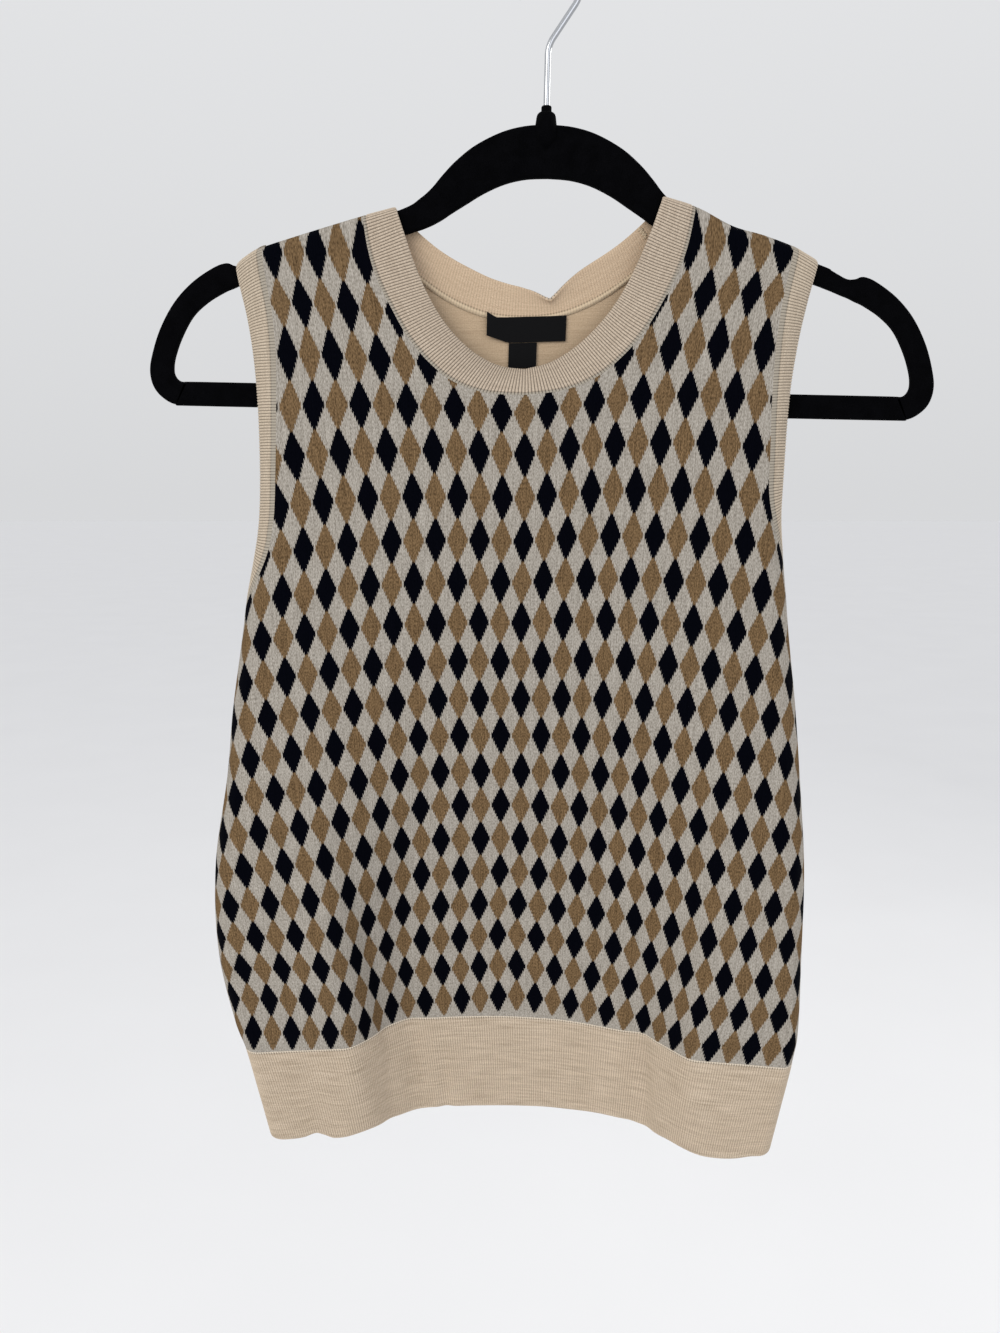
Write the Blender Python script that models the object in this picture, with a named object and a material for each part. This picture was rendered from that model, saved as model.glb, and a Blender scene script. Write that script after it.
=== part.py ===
"""Knitted sweater vest hanging on a slim flocked hanger.

The vest is a harlequin front panel, a plain back panel, a ribbed neckband, two ribbed armbands and a
ribbed hem in two pieces, with a woven main label and a size tab inside the back neck.  Every knitted
piece is a thin wall on one hanging surface: a closed section for each level below the rail, which
rolls over the hanger's arms at the top and opens into the armholes at its sides.

Sizes are in millimetres.  X runs across the garment, Y from front to back with the front facing -Y,
and Z up.  The origin is where the hook bears on its rail, and h is a depth below that point.
"""

import math
from collections import namedtuple

import bmesh
import bpy
from mathutils import Matrix, Vector

MM = 0.001

PANEL_WALL = 2.0
RIB_WALL = 2.2
LABEL_WALL = 1.0
SEAM_GAP = 0.3

ARMBAND_WIDTH = 15.5
HEM_SEAM = 602.0
HEM_EDGE = 661.0

HANGER_THICKNESS = 5.0
HANGER_EDGE_RADIUS = 1.6
HANGER_TILT = 1.28
WIRE_RADIUS = 1.7
HOOK_RADIUS = 16.5

# Outline of the body from the front.  half: half width.  slope: rise of a course towards +X.
# drop: sag of a course at its ends.
Outline = namedtuple("Outline", "h centre half slope drop")
OUTLINE = [
    Outline(115, -10.5, 166.0, 0.020, 0.0),
    Outline(156, -11.5, 161.5, 0.020, 0.0),
    Outline(181, -11.8, 156.0, 0.026, 0.0),
    Outline(204, -12.5, 152.5, 0.028, -1.0),
    Outline(235, -13.5, 150.0, 0.030, -3.0),
    Outline(276, -14.5, 149.5, 0.026, -1.0),
    Outline(300, -15.8, 150.5, 0.020, 2.0),
    Outline(336, -17.5, 156.5, 0.010, 6.0),
    Outline(352, -17.8, 158.7, 0.006, 7.5),
    Outline(394, -18.5, 164.5, 0.000, 8.0),
    Outline(435, -18.9, 168.0, -0.004, 8.0),
    Outline(486, -20.9, 173.0, -0.010, 8.0),
    Outline(540, -20.9, 172.0, -0.015, 7.0),
    Outline(586, -17.0, 167.0, -0.020, 6.0),
    Outline(604, -15.5, 162.5, -0.022, 6.0),
    Outline(630, -15.0, 157.0, -0.022, 6.0),
    Outline(662, -14.5, 150.5, -0.022, 6.0),
]

# Front of the section.  depth: how far its middle stands before the hanger.  edge: the same for its
# outermost line.  corner: width of the turn between them.
Front = namedtuple("Front", "h depth edge corner")
FRONT = [
    Front(115, 5.6, 5.2, 12.0),
    Front(160, 7.5, 5.2, 13.0),
    Front(200, 11.5, 5.3, 14.0),
    Front(235, 15.0, 5.6, 15.0),
    Front(280, 18.0, 6.5, 16.0),
    Front(345, 20.0, 9.0, 17.0),
    Front(394, 20.0, 13.0, 16.0),
    Front(450, 19.0, 21.0, 15.0),
    Front(505, 17.0, 29.0, 14.0),
    Front(555, 15.0, 34.0, 12.0),
    Front(602, 14.0, 38.0, 10.0),
    Front(661, 14.0, 40.0, 9.0),
]

# Where the sides fold in between the layers.  seam_in, seam_y: the side seam, from the outermost
# line.  back_in, back_edge: the outermost line of the back.
Side = namedtuple("Side", "h seam_in seam_y back_in back_edge")
SIDE = [
    Side(115, 30.0, 0.0, 1.0, 5.2),
    Side(235, 30.0, 0.0, 2.0, 5.4),
    Side(280, 30.0, 0.0, 3.5, 6.0),
    Side(345, 30.0, 0.0, 4.0, 8.0),
    Side(394, 22.0, -6.0, 3.0, 5.0),
    Side(450, 9.0, -16.0, 1.0, -5.0),
    Side(505, 1.0, -27.5, 0.0, -22.0),
    Side(555, 0.0, -33.5, 0.0, -32.0),
    Side(602, 0.0, -37.5, 0.0, -36.5),
    Side(661, 0.0, -39.5, 0.0, -38.5),
]

# Back of the section.  depth: how far it stands behind the hanger.  turn: width of its side turn.
Back = namedtuple("Back", "h depth turn")
BACK = [
    Back(115, 5.6, 12.0),
    Back(160, 7.0, 12.0),
    Back(200, 8.5, 13.0),
    Back(280, 11.0, 16.0),
    Back(345, 13.0, 20.0),
    Back(394, 13.0, 24.0),
    Back(450, 12.0, 28.0),
    Back(505, 11.0, 32.0),
    Back(602, 9.0, 34.0),
    Back(661, 9.0, 34.0),
]

# Folds that run down the cloth.  Each is a soft step outwards: x: its middle from the centre line,
# width: how far it takes, rise: how far the cloth comes forward beyond it.
Fold = namedtuple("Fold", "h x width rise")
LEFT_LOBE = [
    Fold(290, 70, 110, 0.0),
    Fold(345, 74, 110, 4.0),
    Fold(394, 78, 100, 9.0),
    Fold(450, 82, 82, 18.0),
    Fold(505, 83, 58, 29.0),
    Fold(555, 84, 46, 34.0),
    Fold(602, 84, 40, 35.0),
    Fold(661, 83, 44, 33.0),
]
RIGHT_LOBE = [
    Fold(290, 75, 110, 0.0),
    Fold(345, 78, 110, 4.0),
    Fold(394, 82, 100, 10.0),
    Fold(450, 90, 90, 20.0),
    Fold(505, 94, 76, 27.0),
    Fold(555, 92, 54, 30.0),
    Fold(602, 86, 34, 28.0),
    Fold(661, 84, 36, 30.0),
]
RIGHT_RAMP = [
    Fold(450, 50, 60, 0.0),
    Fold(505, 50, 60, 2.0),
    Fold(555, 50, 56, 7.0),
    Fold(602, 46, 52, 12.0),
    Fold(661, 44, 52, 9.0),
]
# Soft ridges on the back, given by their middle, their half width and their height.
BACK_LEFT_RIDGE = [
    Fold(230, 62, 26, 0.0),
    Fold(345, 70, 24, 5.0),
    Fold(450, 80, 28, 8.0),
    Fold(560, 86, 34, 5.0),
    Fold(661, 90, 36, 2.0),
]
BACK_RIGHT_RIDGE = [
    Fold(250, 52, 28, 0.0),
    Fold(345, 58, 24, 4.0),
    Fold(450, 64, 26, 7.0),
    Fold(560, 70, 30, 6.0),
    Fold(661, 72, 34, 3.0),
]
BACK_MIDDLE_RIDGE = [
    Fold(300, 4, 22, 0.0),
    Fold(394, 8, 24, 4.0),
    Fold(500, 12, 28, 5.0),
    Fold(661, 16, 34, 2.0),
]

# The shoulder line over the hanger's arms, out from the centre line, on the -X and +X sides.
Ridge = namedtuple("Ridge", "x left right")
RIDGE = [
    Ridge(73, 124.3, 121.5),
    Ridge(93, 129.0, 128.0),
    Ridge(113, 134.3, 138.0),
    Ridge(130, 139.0, 143.0),
    Ridge(147, 143.4, 149.0),
    Ridge(153, 145.2, 151.8),
    Ridge(159, 148.2, 154.6),
    Ridge(165, 151.5, 157.5),
]
SHOULDER_ROLL = 5.0

# The neckline: the seam and the free edge of its band, from the shoulder to the middle.
# lean: how far the free edge falls back towards the inside.
Neck = namedtuple("Neck", "seam_half seam_h free_half free_h lean")
FRONT_NECK = [
    Neck(91.5, 128.6, 73.5, 123.6, 0.0),
    Neck(88.5, 146.0, 68.5, 138.5, 0.0),
    Neck(84.0, 161.0, 62.5, 155.0, 0.5),
    Neck(76.0, 177.0, 55.5, 170.5, 1.5),
    Neck(66.0, 194.0, 47.5, 183.5, 3.5),
    Neck(54.0, 208.0, 38.0, 194.5, 5.5),
    Neck(40.0, 219.0, 27.0, 203.5, 7.5),
    Neck(22.0, 225.5, 14.0, 209.8, 9.0),
    Neck(0.0, 227.5, 0.0, 212.0, 9.5),
]
BACK_NECK = [
    Neck(91.5, 128.6, 73.5, 123.6, 0.0),
    Neck(82.0, 142.0, 67.5, 130.5, 0.0),
    Neck(70.0, 153.5, 59.5, 138.0, 0.5),
    Neck(58.0, 163.0, 50.0, 145.5, 1.0),
    Neck(47.0, 170.5, 40.5, 151.5, 1.5),
    Neck(35.5, 176.5, 30.0, 157.0, 2.0),
    Neck(23.0, 181.0, 20.0, 161.5, 2.0),
    Neck(11.0, 183.0, 9.5, 164.5, 2.0),
    Neck(0.0, 183.5, 0.0, 165.5, 2.0),
]
# A small buckle in the free edge of the back neckband.
BUCKLE_X = 15.0
BUCKLE_WIDTH = 9.0
BUCKLE_DIP = 11.0
BUCKLE_FORWARD = 3.0
# The front band's free edge stands a little higher on the +X side.
FREE_EDGE_RISE = 3.0

# The armholes on the -X and +X sides: straight down to turn, then round under the arm to bottom.
Armhole = namedtuple("Armhole", "turn bottom")
ARMHOLE = {-1: Armhole(298, 356), 1: Armhole(278, 343)}
ARMHOLE_ROUNDNESS = 1.7

# The hanger's frame in its own upright position, from the top middle to the bottom middle of one
# half: the outer edge and the inner edge that faces it.
Bar = namedtuple("Bar", "outer_x outer_z inner_x inner_z")
HANGER = [
    Bar(0.0, -83.1, 0.0, -110.0),
    Bar(13.0, -84.1, 12.0, -110.7),
    Bar(26.0, -87.4, 23.5, -113.4),
    Bar(40.0, -95.0, 35.0, -118.8),
    Bar(50.5, -103.8, 45.0, -125.1),
    Bar(58.0, -112.6, 52.5, -129.8),
    Bar(63.5, -119.8, 59.0, -133.6),
    Bar(70.0, -125.2, 66.0, -137.2),
    Bar(80.0, -130.4, 76.0, -140.8),
    Bar(117.0, -141.6, 113.0, -152.0),
    Bar(154.0, -152.6, 150.0, -163.2),
    Bar(159.5, -154.6, 155.5, -165.0),
    Bar(163.5, -158.0, 160.5, -166.7),
    Bar(168.5, -160.2, 166.0, -168.8),
    Bar(173.0, -160.1, 170.0, -170.2),
    Bar(177.5, -158.8, 174.0, -172.0),
    Bar(184.9, -161.4, 179.0, -174.1),
    Bar(196.9, -169.4, 188.6, -179.8),
    Bar(207.4, -180.4, 197.1, -187.6),
    Bar(215.9, -195.0, 203.8, -199.0),
    Bar(221.1, -210.0, 208.0, -210.0),
    Bar(222.3, -219.0, 209.0, -217.0),
    Bar(220.3, -226.8, 207.8, -220.8),
    Bar(215.4, -232.4, 205.2, -222.9),
    Bar(208.4, -235.3, 201.1, -223.6),
    Bar(196.9, -235.8, 192.6, -223.6),
    Bar(98.0, -235.8, 96.0, -223.6),
    Bar(0.0, -235.8, 0.0, -223.6),
]
# The round neck that the hook turns in, from the frame up: its levels and radii.
Turned = namedtuple("Turned", "z radius")
NECK_PROFILE = [
    Turned(-98.0, 2.2),
    Turned(-90.0, 6.4),
    Turned(-85.0, 6.0),
    Turned(-79.4, 5.2),
    Turned(-77.9, 4.2),
    Turned(-77.5, 2.8),
    Turned(-74.8, 2.8),
    Turned(-74.2, 2.4),
]
STEM_BOTTOM = -88.0
BORE_PROFILE = [
    Turned(STEM_BOTTOM - SEAM_GAP, WIRE_RADIUS + SEAM_GAP),
    Turned(-70.0, WIRE_RADIUS + SEAM_GAP),
]
BEND_LEVEL = -44.0
BEND_RADIUS = 5.0

LABEL_HALF = 22.0
LABEL_TOP = 184.0
LABEL_BOTTOM = 196.5
TAB_MIDDLE = -1.5
TAB_HALF = 8.0
TAB_BOTTOM = 210.5


def at(table, value):
    """The row of a table at a value between its rows, on a smooth curve through them."""
    kind = type(table[0])
    value = min(max(value, table[0][0]), table[-1][0])
    i = max(k for k in range(len(table) - 1) if table[k][0] <= value)
    a, b = table[i], table[i + 1]
    before, after = table[max(i - 1, 0)], table[min(i + 2, len(table) - 1)]
    span = b[0] - a[0]
    t = (value - a[0]) / span

    def curve(k):
        start = (b[k] - before[k]) / (b[0] - before[0]) * span
        end = (after[k] - a[k]) / (after[0] - a[0]) * span
        rise = b[k] - a[k]
        return a[k] + t * (start + t * (3 * rise - 2 * start - end + t * (start + end - 2 * rise)))

    return kind(value, *(curve(k) for k in range(1, len(a))))


def along(table, step):
    """A table's row at a fractional row number, on a smooth curve through the rows."""
    last = len(table) - 1
    i = min(int(step), last - 1)
    t = step - i
    rows = [table[max(i - 1, 0)], table[i], table[i + 1], table[min(i + 2, last)]]
    weights = (
        (-t + 2 * t**2 - t**3) / 2,
        (2 - 5 * t**2 + 3 * t**3) / 2,
        (t + 4 * t**2 - 3 * t**3) / 2,
        (-(t**2) + t**3) / 2,
    )
    values = (sum(w * row[k] for w, row in zip(weights, rows)) for k in range(len(table[0])))
    return type(table[0])(*values)


def soft_step(t):
    t = min(max(t, 0.0), 1.0)
    return t * t * (3 - 2 * t)


def step_rise(table, x, h):
    if h <= table[0].h:
        return 0.0
    fold = at(table, h)
    return fold.rise * soft_step((x - fold.x) / fold.width + 0.5)


def ridge_rise(table, x, h):
    if h <= table[0].h:
        return 0.0
    fold = at(table, h)
    return fold.rise * math.exp(-(((x - fold.x) / fold.width) ** 2))


def front_depth(side, x, h):
    """How far the front stands before the hanger; side is -1 for the -X half and 1 for the other."""
    depth = at(FRONT, h).depth
    if side < 0:
        return depth + step_rise(LEFT_LOBE, x, h)
    return depth + step_rise(RIGHT_LOBE, x, h) + step_rise(RIGHT_RAMP, x, h)


def back_depth(side, x, h):
    depth = at(BACK, h).depth + ridge_rise(BACK_MIDDLE_RIDGE, side * x, h)
    return depth + ridge_rise(BACK_LEFT_RIDGE if side < 0 else BACK_RIGHT_RIDGE, x, h)


PLATEAU_POINTS = 26
TURN_POINTS = 9
FOLD_BOTTOM = 1.0
FOLD_RADIUS = 3.4

section_cache = {}
turn_cache = {}


def half_section(face, side, h):
    """A quarter of the closed section at depth h, from the middle of a face to its side seam.

    Returns its points (x from the centre line, y), their distances along the cloth, and the
    distance at which the cloth is outermost.
    """
    key = (face, side, round(h, 3))
    if key in section_cache:
        return section_cache[key]
    outline, front, fold, back = at(OUTLINE, h), at(FRONT, h), at(SIDE, h), at(BACK, h)
    if face == "front":
        outermost, edge, turn = outline.half, -front.edge, front.corner
    else:
        outermost, edge, turn = outline.half - fold.back_in, fold.back_edge, back.turn
    run = outermost - turn
    facing = -1 if face == "front" else 1

    def depth(x):
        return front_depth(side, x, h) if face == "front" else back_depth(side, x, h)

    points = []
    for k in range(PLATEAU_POINTS + 1):
        x = run * k / PLATEAU_POINTS
        points.append((x, facing * depth(x)))
    rim = points[-1][1]
    for k in range(1, TURN_POINTS + 1):
        a = math.pi / 2 * k / TURN_POINTS
        points.append((run + turn * math.sin(a), edge + (rim - edge) * math.cos(a)))
    outermost_index = len(points) - 1
    seam_x = outline.half - fold.seam_in
    blunt = FOLD_BOTTOM * min(1.0, fold.seam_in / 5)
    seam_y = fold.seam_y + facing * blunt
    radius = min(FOLD_RADIUS, 0.8 * abs(seam_y - edge), 0.8 * (outermost - seam_x) + 0.02)
    for k in range(1, TURN_POINTS + 1):
        a = math.pi / 2 * k / TURN_POINTS
        points.append((outermost - radius * (1 - math.cos(a)), edge - facing * radius * math.sin(a)))
    x0, y0 = points[-1]
    for k in range(1, TURN_POINTS + 1):
        t = k / TURN_POINTS
        points.append((x0 + (seam_x - x0) * t, y0 + (seam_y - y0) * soft_step(t)))
    points.append((seam_x - blunt / 2, fold.seam_y))

    distances = [0.0]
    for (x0, y0), (x1, y1) in zip(points, points[1:]):
        distances.append(distances[-1] + math.hypot(x1 - x0, y1 - y0))
    section_cache[key] = (points, distances, distances[outermost_index])
    return section_cache[key]


def shoulder_line(side, x):
    row = at(RIDGE, x)
    return row.left if side < 0 else row.right


def on_cloth(face, side, s, h):
    """The point of the hanging surface at a distance s from the centre line and a depth h."""
    points, distances, _ = half_section(face, side, h)
    s = min(max(s, 0.0), distances[-1])
    k = 1
    while k < len(distances) - 1 and distances[k] < s:
        k += 1
    span = distances[k] - distances[k - 1]
    t = (s - distances[k - 1]) / span if span > 1e-9 else 0.0
    x = points[k - 1][0] + t * (points[k][0] - points[k - 1][0])
    y = points[k - 1][1] + t * (points[k][1] - points[k - 1][1])
    below = min(max((h - shoulder_line(side, x)) / SHOULDER_ROLL, 0.0), 1.0)
    y *= math.sqrt(max(0.0, 1 - (1 - below) ** 2))
    outline = at(OUTLINE, h)
    z = -h + outline.slope * side * x - outline.drop * (x / 150) ** 2
    return Vector((outline.centre + side * x, y, z))


def side_seam(face, side, h):
    return half_section(face, side, h)[1][-1]


def outermost(face, side, h):
    return half_section(face, side, h)[2]


PROBE = 0.25


def inward(face, side, surface, a, b):
    """The unit direction into the garment at a place (a, b) of a surface that runs out and down."""
    across = surface(a + PROBE, b) - surface(a - PROBE, b)
    down = surface(a, b + PROBE) - surface(a, b - PROBE)
    normal = across.cross(down) * side * (1 if face == "front" else -1)
    return normal.normalized()


def wall_point(face, side, s, h, depth, seam=None):
    """A point of the cloth, or one moved straight into the wall by a depth.

    At a seam, both pieces take their direction from the same place (s, h) on it.
    """
    point = on_cloth(face, side, s, h)
    if depth:
        point += depth * inward(face, side, lambda a, b: on_cloth(face, side, a, b), *(seam or (s, h)))
    return point


def neck_table(face):
    return FRONT_NECK if face == "front" else BACK_NECK


def neck_row(face, side, step):
    """The neckline's row at a fractional row number; it starts on the shoulder line."""
    table = neck_table(face)
    row = along(table, step)
    fade = max(1.0 - step, 0.0)
    return row._replace(
        seam_h=row.seam_h + fade * (shoulder_line(side, table[0].seam_half) - table[0].seam_h),
        free_h=row.free_h + fade * (shoulder_line(side, table[0].free_half) - table[0].free_h),
    )


def neck_step(face, side, value, column):
    """The row number at which a falling or rising column of the neckline reaches a value."""
    low, high = 0.0, len(neck_table(face)) - 1.0
    rising = neck_table(face)[-1][column] > neck_table(face)[0][column]
    for _ in range(40):
        middle = (low + high) / 2
        if (neck_row(face, side, middle)[column] < value) == rising:
            low = middle
        else:
            high = middle
    return (low + high) / 2


# The grid that each panel is made on.  The strap runs from the neckline to the armhole, the middle
# hangs below the neckline, and the flanks lie under the arms.
MIDDLE_COLUMNS = 4
STRAP_COLUMNS = 5
FLANK_COLUMNS = 6
HALF_COLUMNS = MIDDLE_COLUMNS + STRAP_COLUMNS + FLANK_COLUMNS
ROLL_ROWS = (0.0, 0.7, 2.2, 5.0)
STRAP_ROWS = 8
YOKE_ROWS = 4
BODY_ROWS = 15
PANEL_ROWS = STRAP_ROWS + YOKE_ROWS + BODY_ROWS
RIB_ROWS = 3

# Where a strap ends: the neckline's row there, and how much lower it ends at the armhole.
STRAP_END = {"front": (4, 8.0), "back": (3, 26.0)}


def strap_level(face, side, row, along_strap, x):
    """The depth of a strap's row, which starts on the shoulder line and ends almost level."""
    top = shoulder_line(side, x)
    step, lower = STRAP_END[face]
    bottom = neck_table(face)[step].seam_h + lower * along_strap
    if row < len(ROLL_ROWS):
        return top + ROLL_ROWS[row]
    t = (row - len(ROLL_ROWS) + 1) / (STRAP_ROWS - len(ROLL_ROWS) + 1)
    return top + ROLL_ROWS[-1] + (bottom - top - ROLL_ROWS[-1]) * t


def strap_neck(face, side, row):
    """The neckline's row number where a strap's row starts."""
    step, _ = STRAP_END[face]
    if row in (0, STRAP_ROWS):
        return float(step) if row else 0.0
    h = strap_level(face, side, row, 0.0, neck_table(face)[0].seam_half)
    return neck_step(face, side, h, 1)


def armhole_level(face, side, row):
    """The depth at which a row of the strap or the yoke meets the armhole."""
    if row <= STRAP_ROWS:
        x = outermost(face, side, 150.0) - ARMBAND_WIDTH
        return strap_level(face, side, row, 1.0, x)
    top = strap_level(face, side, STRAP_ROWS, 1.0, 150.0)
    return top + (ARMHOLE[side].turn - top) * (row - STRAP_ROWS) / YOKE_ROWS


def armhole_turn(face, side, t, inset):
    """A place (s, h) on the armhole's turn under the arm, t from 0 to 1; inset: in from the seam."""
    start = outermost(face, side, ARMHOLE[side].turn) - ARMBAND_WIDTH + inset
    bottom = ARMHOLE[side].bottom - inset
    end = side_seam(face, side, bottom)
    power = 2 / ARMHOLE_ROUNDNESS
    a = math.pi / 2 * t
    s = end - (end - start) * max(math.cos(a), 0.0) ** power
    return s, ARMHOLE[side].turn + (bottom - ARMHOLE[side].turn) * math.sin(a) ** power


def silhouette_turn(face, side):
    """How far round the armhole's turn, from 0 to 1, its seam crosses the outermost line."""
    low, high = 0.0, 1.0
    for _ in range(30):
        middle = (low + high) / 2
        s, h = armhole_turn(face, side, middle, 0.0)
        if s < outermost(face, side, h):
            low = middle
        else:
            high = middle
    return (low + high) / 2


def flank_turn(face, side, station):
    """How far round the armhole's turn a station is; the middle one is on the outermost line."""
    key = (face, side)
    if key not in turn_cache:
        turn_cache[key] = silhouette_turn(face, side)
    half = FLANK_COLUMNS / 2
    if station <= half:
        return turn_cache[key] * station / half
    return turn_cache[key] + (1 - turn_cache[key]) * (station - half) / half


def column_top(face, side, column):
    """The place (s, h) where a column of the panel enters the body below the arms."""
    inner = neck_table(face)[STRAP_END[face][0]].seam_half
    outer = outermost(face, side, ARMHOLE[side].turn) - ARMBAND_WIDTH
    if column <= MIDDLE_COLUMNS:
        return inner * column / MIDDLE_COLUMNS, ARMHOLE[side].turn
    strap = column - MIDDLE_COLUMNS
    if strap <= STRAP_COLUMNS:
        return inner + (outer - inner) * strap / STRAP_COLUMNS, ARMHOLE[side].turn
    return armhole_turn(face, side, flank_turn(face, side, strap - STRAP_COLUMNS), 0.0)


def column_distance(face, side, column, h):
    """The distance s of a column at a depth h below the arms; one column is the outermost line."""
    top_s, top_h = column_top(face, side, column)
    edge, top_edge = outermost(face, side, h), outermost(face, side, top_h)
    if column <= MIDDLE_COLUMNS + STRAP_COLUMNS + FLANK_COLUMNS // 2:
        return top_s * edge / top_edge
    seam = side_seam(face, side, max(h, ARMHOLE[side].bottom))
    top_seam = side_seam(face, side, ARMHOLE[side].bottom)
    return edge + (seam - edge) * (top_s - top_edge) / (top_seam - top_edge)


def panel_place(face, side, column, row):
    """The place (s, h) of a node of the panel's grid; columns count from the centre line."""
    strap = (column - MIDDLE_COLUMNS) / STRAP_COLUMNS
    if row <= STRAP_ROWS and 0 <= strap <= 1:
        neck = neck_row(face, side, strap_neck(face, side, row))
        s0, h0 = neck.seam_half, neck.seam_h
        h1 = armhole_level(face, side, row)
        s1 = outermost(face, side, h1) - ARMBAND_WIDTH
        s = s0 + (s1 - s0) * strap
        if row < STRAP_ROWS and 0 < strap < 1:
            return s, strap_level(face, side, row, strap, s)
        return s, h0 + (h1 - h0) * strap
    top_s, top_h = column_top(face, side, column)
    if row <= STRAP_ROWS + YOKE_ROWS and strap <= 1:
        t = (row - STRAP_ROWS) / YOKE_ROWS
        if strap >= 0:
            s0, h0 = panel_place(face, side, column, STRAP_ROWS)
        else:
            s0 = neck_table(face)[STRAP_END[face][0]].seam_half * column / MIDDLE_COLUMNS
            h0 = neck_row(face, side, neck_step(face, side, s0, 0)).seam_h
        h = h0 + (ARMHOLE[side].turn - h0) * t
        if strap == 1:
            return outermost(face, side, h) - ARMBAND_WIDTH, h
        return s0 + (top_s - s0) * t, h
    h = top_h + (HEM_SEAM - top_h) * (row - STRAP_ROWS - YOKE_ROWS) / BODY_ROWS
    return column_distance(face, side, column, h), h


def material(name, colour, roughness, metallic=0.0):
    made = bpy.data.materials.new(name)
    made.use_nodes = True
    shader = made.node_tree.nodes["Principled BSDF"]
    shader.inputs["Base Color"].default_value = (*colour, 1.0)
    shader.inputs["Roughness"].default_value = roughness
    shader.inputs["Metallic"].default_value = metallic
    made.diffuse_color = (*colour, 1.0)
    return made


def finish(name, bm, look):
    """Close a bmesh into an object of the part."""
    bmesh.ops.recalc_face_normals(bm, faces=bm.faces)
    mesh = bpy.data.meshes.new(name)
    bm.to_mesh(mesh)
    bm.free()
    mesh.materials.append(look)
    mesh.shade_smooth()
    made = bpy.data.objects.new(name, mesh)
    bpy.context.scene.collection.objects.link(made)
    return made


def cloth_wall(name, columns, rows, place, look, left_out=None, ring=False):
    """A closed wall of cloth from a flat grid: place(column, row, layer) gives each point.

    The layer is 0 on the outer face and 1 on the inner face.  Cells that left_out(column, row)
    names are cut away, and a ring is welded where its ends meet.
    """
    bm = bmesh.new()
    bmesh.ops.create_grid(bm, x_segments=columns, y_segments=rows, size=0.5)
    if left_out:
        centres = ((face, face.calc_center_median() + Vector((0.5, 0.5, 0))) for face in bm.faces)
        cut = [face for face, c in centres if left_out(c.x * columns, c.y * rows)]
        bmesh.ops.delete(bm, geom=cut, context="FACES")
    made = bmesh.ops.extrude_face_region(bm, geom=bm.faces[:])
    inner = [item for item in made["geom"] if isinstance(item, bmesh.types.BMVert)]
    bmesh.ops.translate(bm, verts=inner, vec=(0, 0, 1))
    if ring:
        ends = [face for face in bm.faces if abs(face.calc_center_median().x) > 0.4999]
        bmesh.ops.delete(bm, geom=ends, context="FACES")
    for vert in bm.verts:
        column = round((vert.co.x + 0.5) * columns)
        row = round((vert.co.y + 0.5) * rows)
        vert.co = place(column, row, round(vert.co.z)) * MM
    bmesh.ops.remove_doubles(bm, verts=bm.verts, dist=1e-7)
    bmesh.ops.triangulate(bm, faces=bm.faces, quad_method="SHORT_EDGE")
    return finish(name, bm, look)


def make_panel(name, face, look):
    """The front or back panel, from the shoulders and the neckline down to the hem rib."""

    def place(column, row, layer):
        side = -1 if column < HALF_COLUMNS else 1
        out = abs(column - HALF_COLUMNS)
        s, h = panel_place(face, side, out, row)
        if row == 0:
            point = on_cloth(face, side, s, h) - Vector((0, 0, PANEL_WALL * layer))
            point.y = SEAM_GAP / 2 * (-1 if face == "front" else 1)
            return point
        if out == HALF_COLUMNS:
            seam = on_cloth(face, side, s - SEAM_GAP / 2, h)
            return seam - Vector((side * PANEL_WALL * layer, 0, 0))
        return wall_point(face, side, s, h, PANEL_WALL * layer)

    def left_out(column, row):
        out = abs(column - HALF_COLUMNS)
        if row < STRAP_ROWS:
            return out < MIDDLE_COLUMNS or out > MIDDLE_COLUMNS + STRAP_COLUMNS
        return row < STRAP_ROWS + YOKE_ROWS and out > MIDDLE_COLUMNS + STRAP_COLUMNS

    return cloth_wall(name, 2 * HALF_COLUMNS, PANEL_ROWS, place, look, left_out)


def make_hem(name, face, look):
    """The front or back half of the ribbed hem."""

    def place(column, row, layer):
        side = -1 if column < HALF_COLUMNS else 1
        out = abs(column - HALF_COLUMNS)
        top = HEM_SEAM + SEAM_GAP
        h = top + (HEM_EDGE - top) * row / RIB_ROWS
        s = column_distance(face, side, out, h)
        if out == HALF_COLUMNS:
            seam = on_cloth(face, side, s - SEAM_GAP / 2, h)
            return seam - Vector((side * RIB_WALL * layer, 0, 0))
        seam = None if row else panel_place(face, side, out, PANEL_ROWS)
        return wall_point(face, side, s, h, RIB_WALL * layer, seam)

    return cloth_wall(name, 2 * HALF_COLUMNS, RIB_ROWS, place, look)


def neckband_place(face, side, step, across):
    """A place (s, h) on the neckband: step along the neckline's table, across from seam to edge."""
    row = neck_row(face, side, step)
    width = math.hypot(row.seam_half - row.free_half, row.seam_h - row.free_h)
    across += SEAM_GAP / width * (1 - across)
    s = row.seam_half + (row.free_half - row.seam_half) * across
    h = row.seam_h + (row.free_h - row.seam_h) * across
    return max(s, 0.0), h


def neckband_point(face, side, step, across):
    """A point of the neckband's outer face, which leans in towards its free edge."""
    s, h = neckband_place(face, side, step, across)
    inside = 1 if face == "front" else -1
    lean = neck_row(face, side, step).lean * across**2
    if face == "front" and side > 0:
        h -= FREE_EDGE_RISE * across**2 * math.sin(math.pi * step / (len(FRONT_NECK) - 1))
    if face == "back":
        buckle = math.exp(-(((side * s - BUCKLE_X) / BUCKLE_WIDTH) ** 2)) * across**2
        h += BUCKLE_DIP * buckle
        lean += BUCKLE_FORWARD * buckle
    return on_cloth(face, side, s, h) + Vector((0, inside * lean, 0))


NECK_STATIONS = STRAP_ROWS + MIDDLE_COLUMNS


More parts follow.
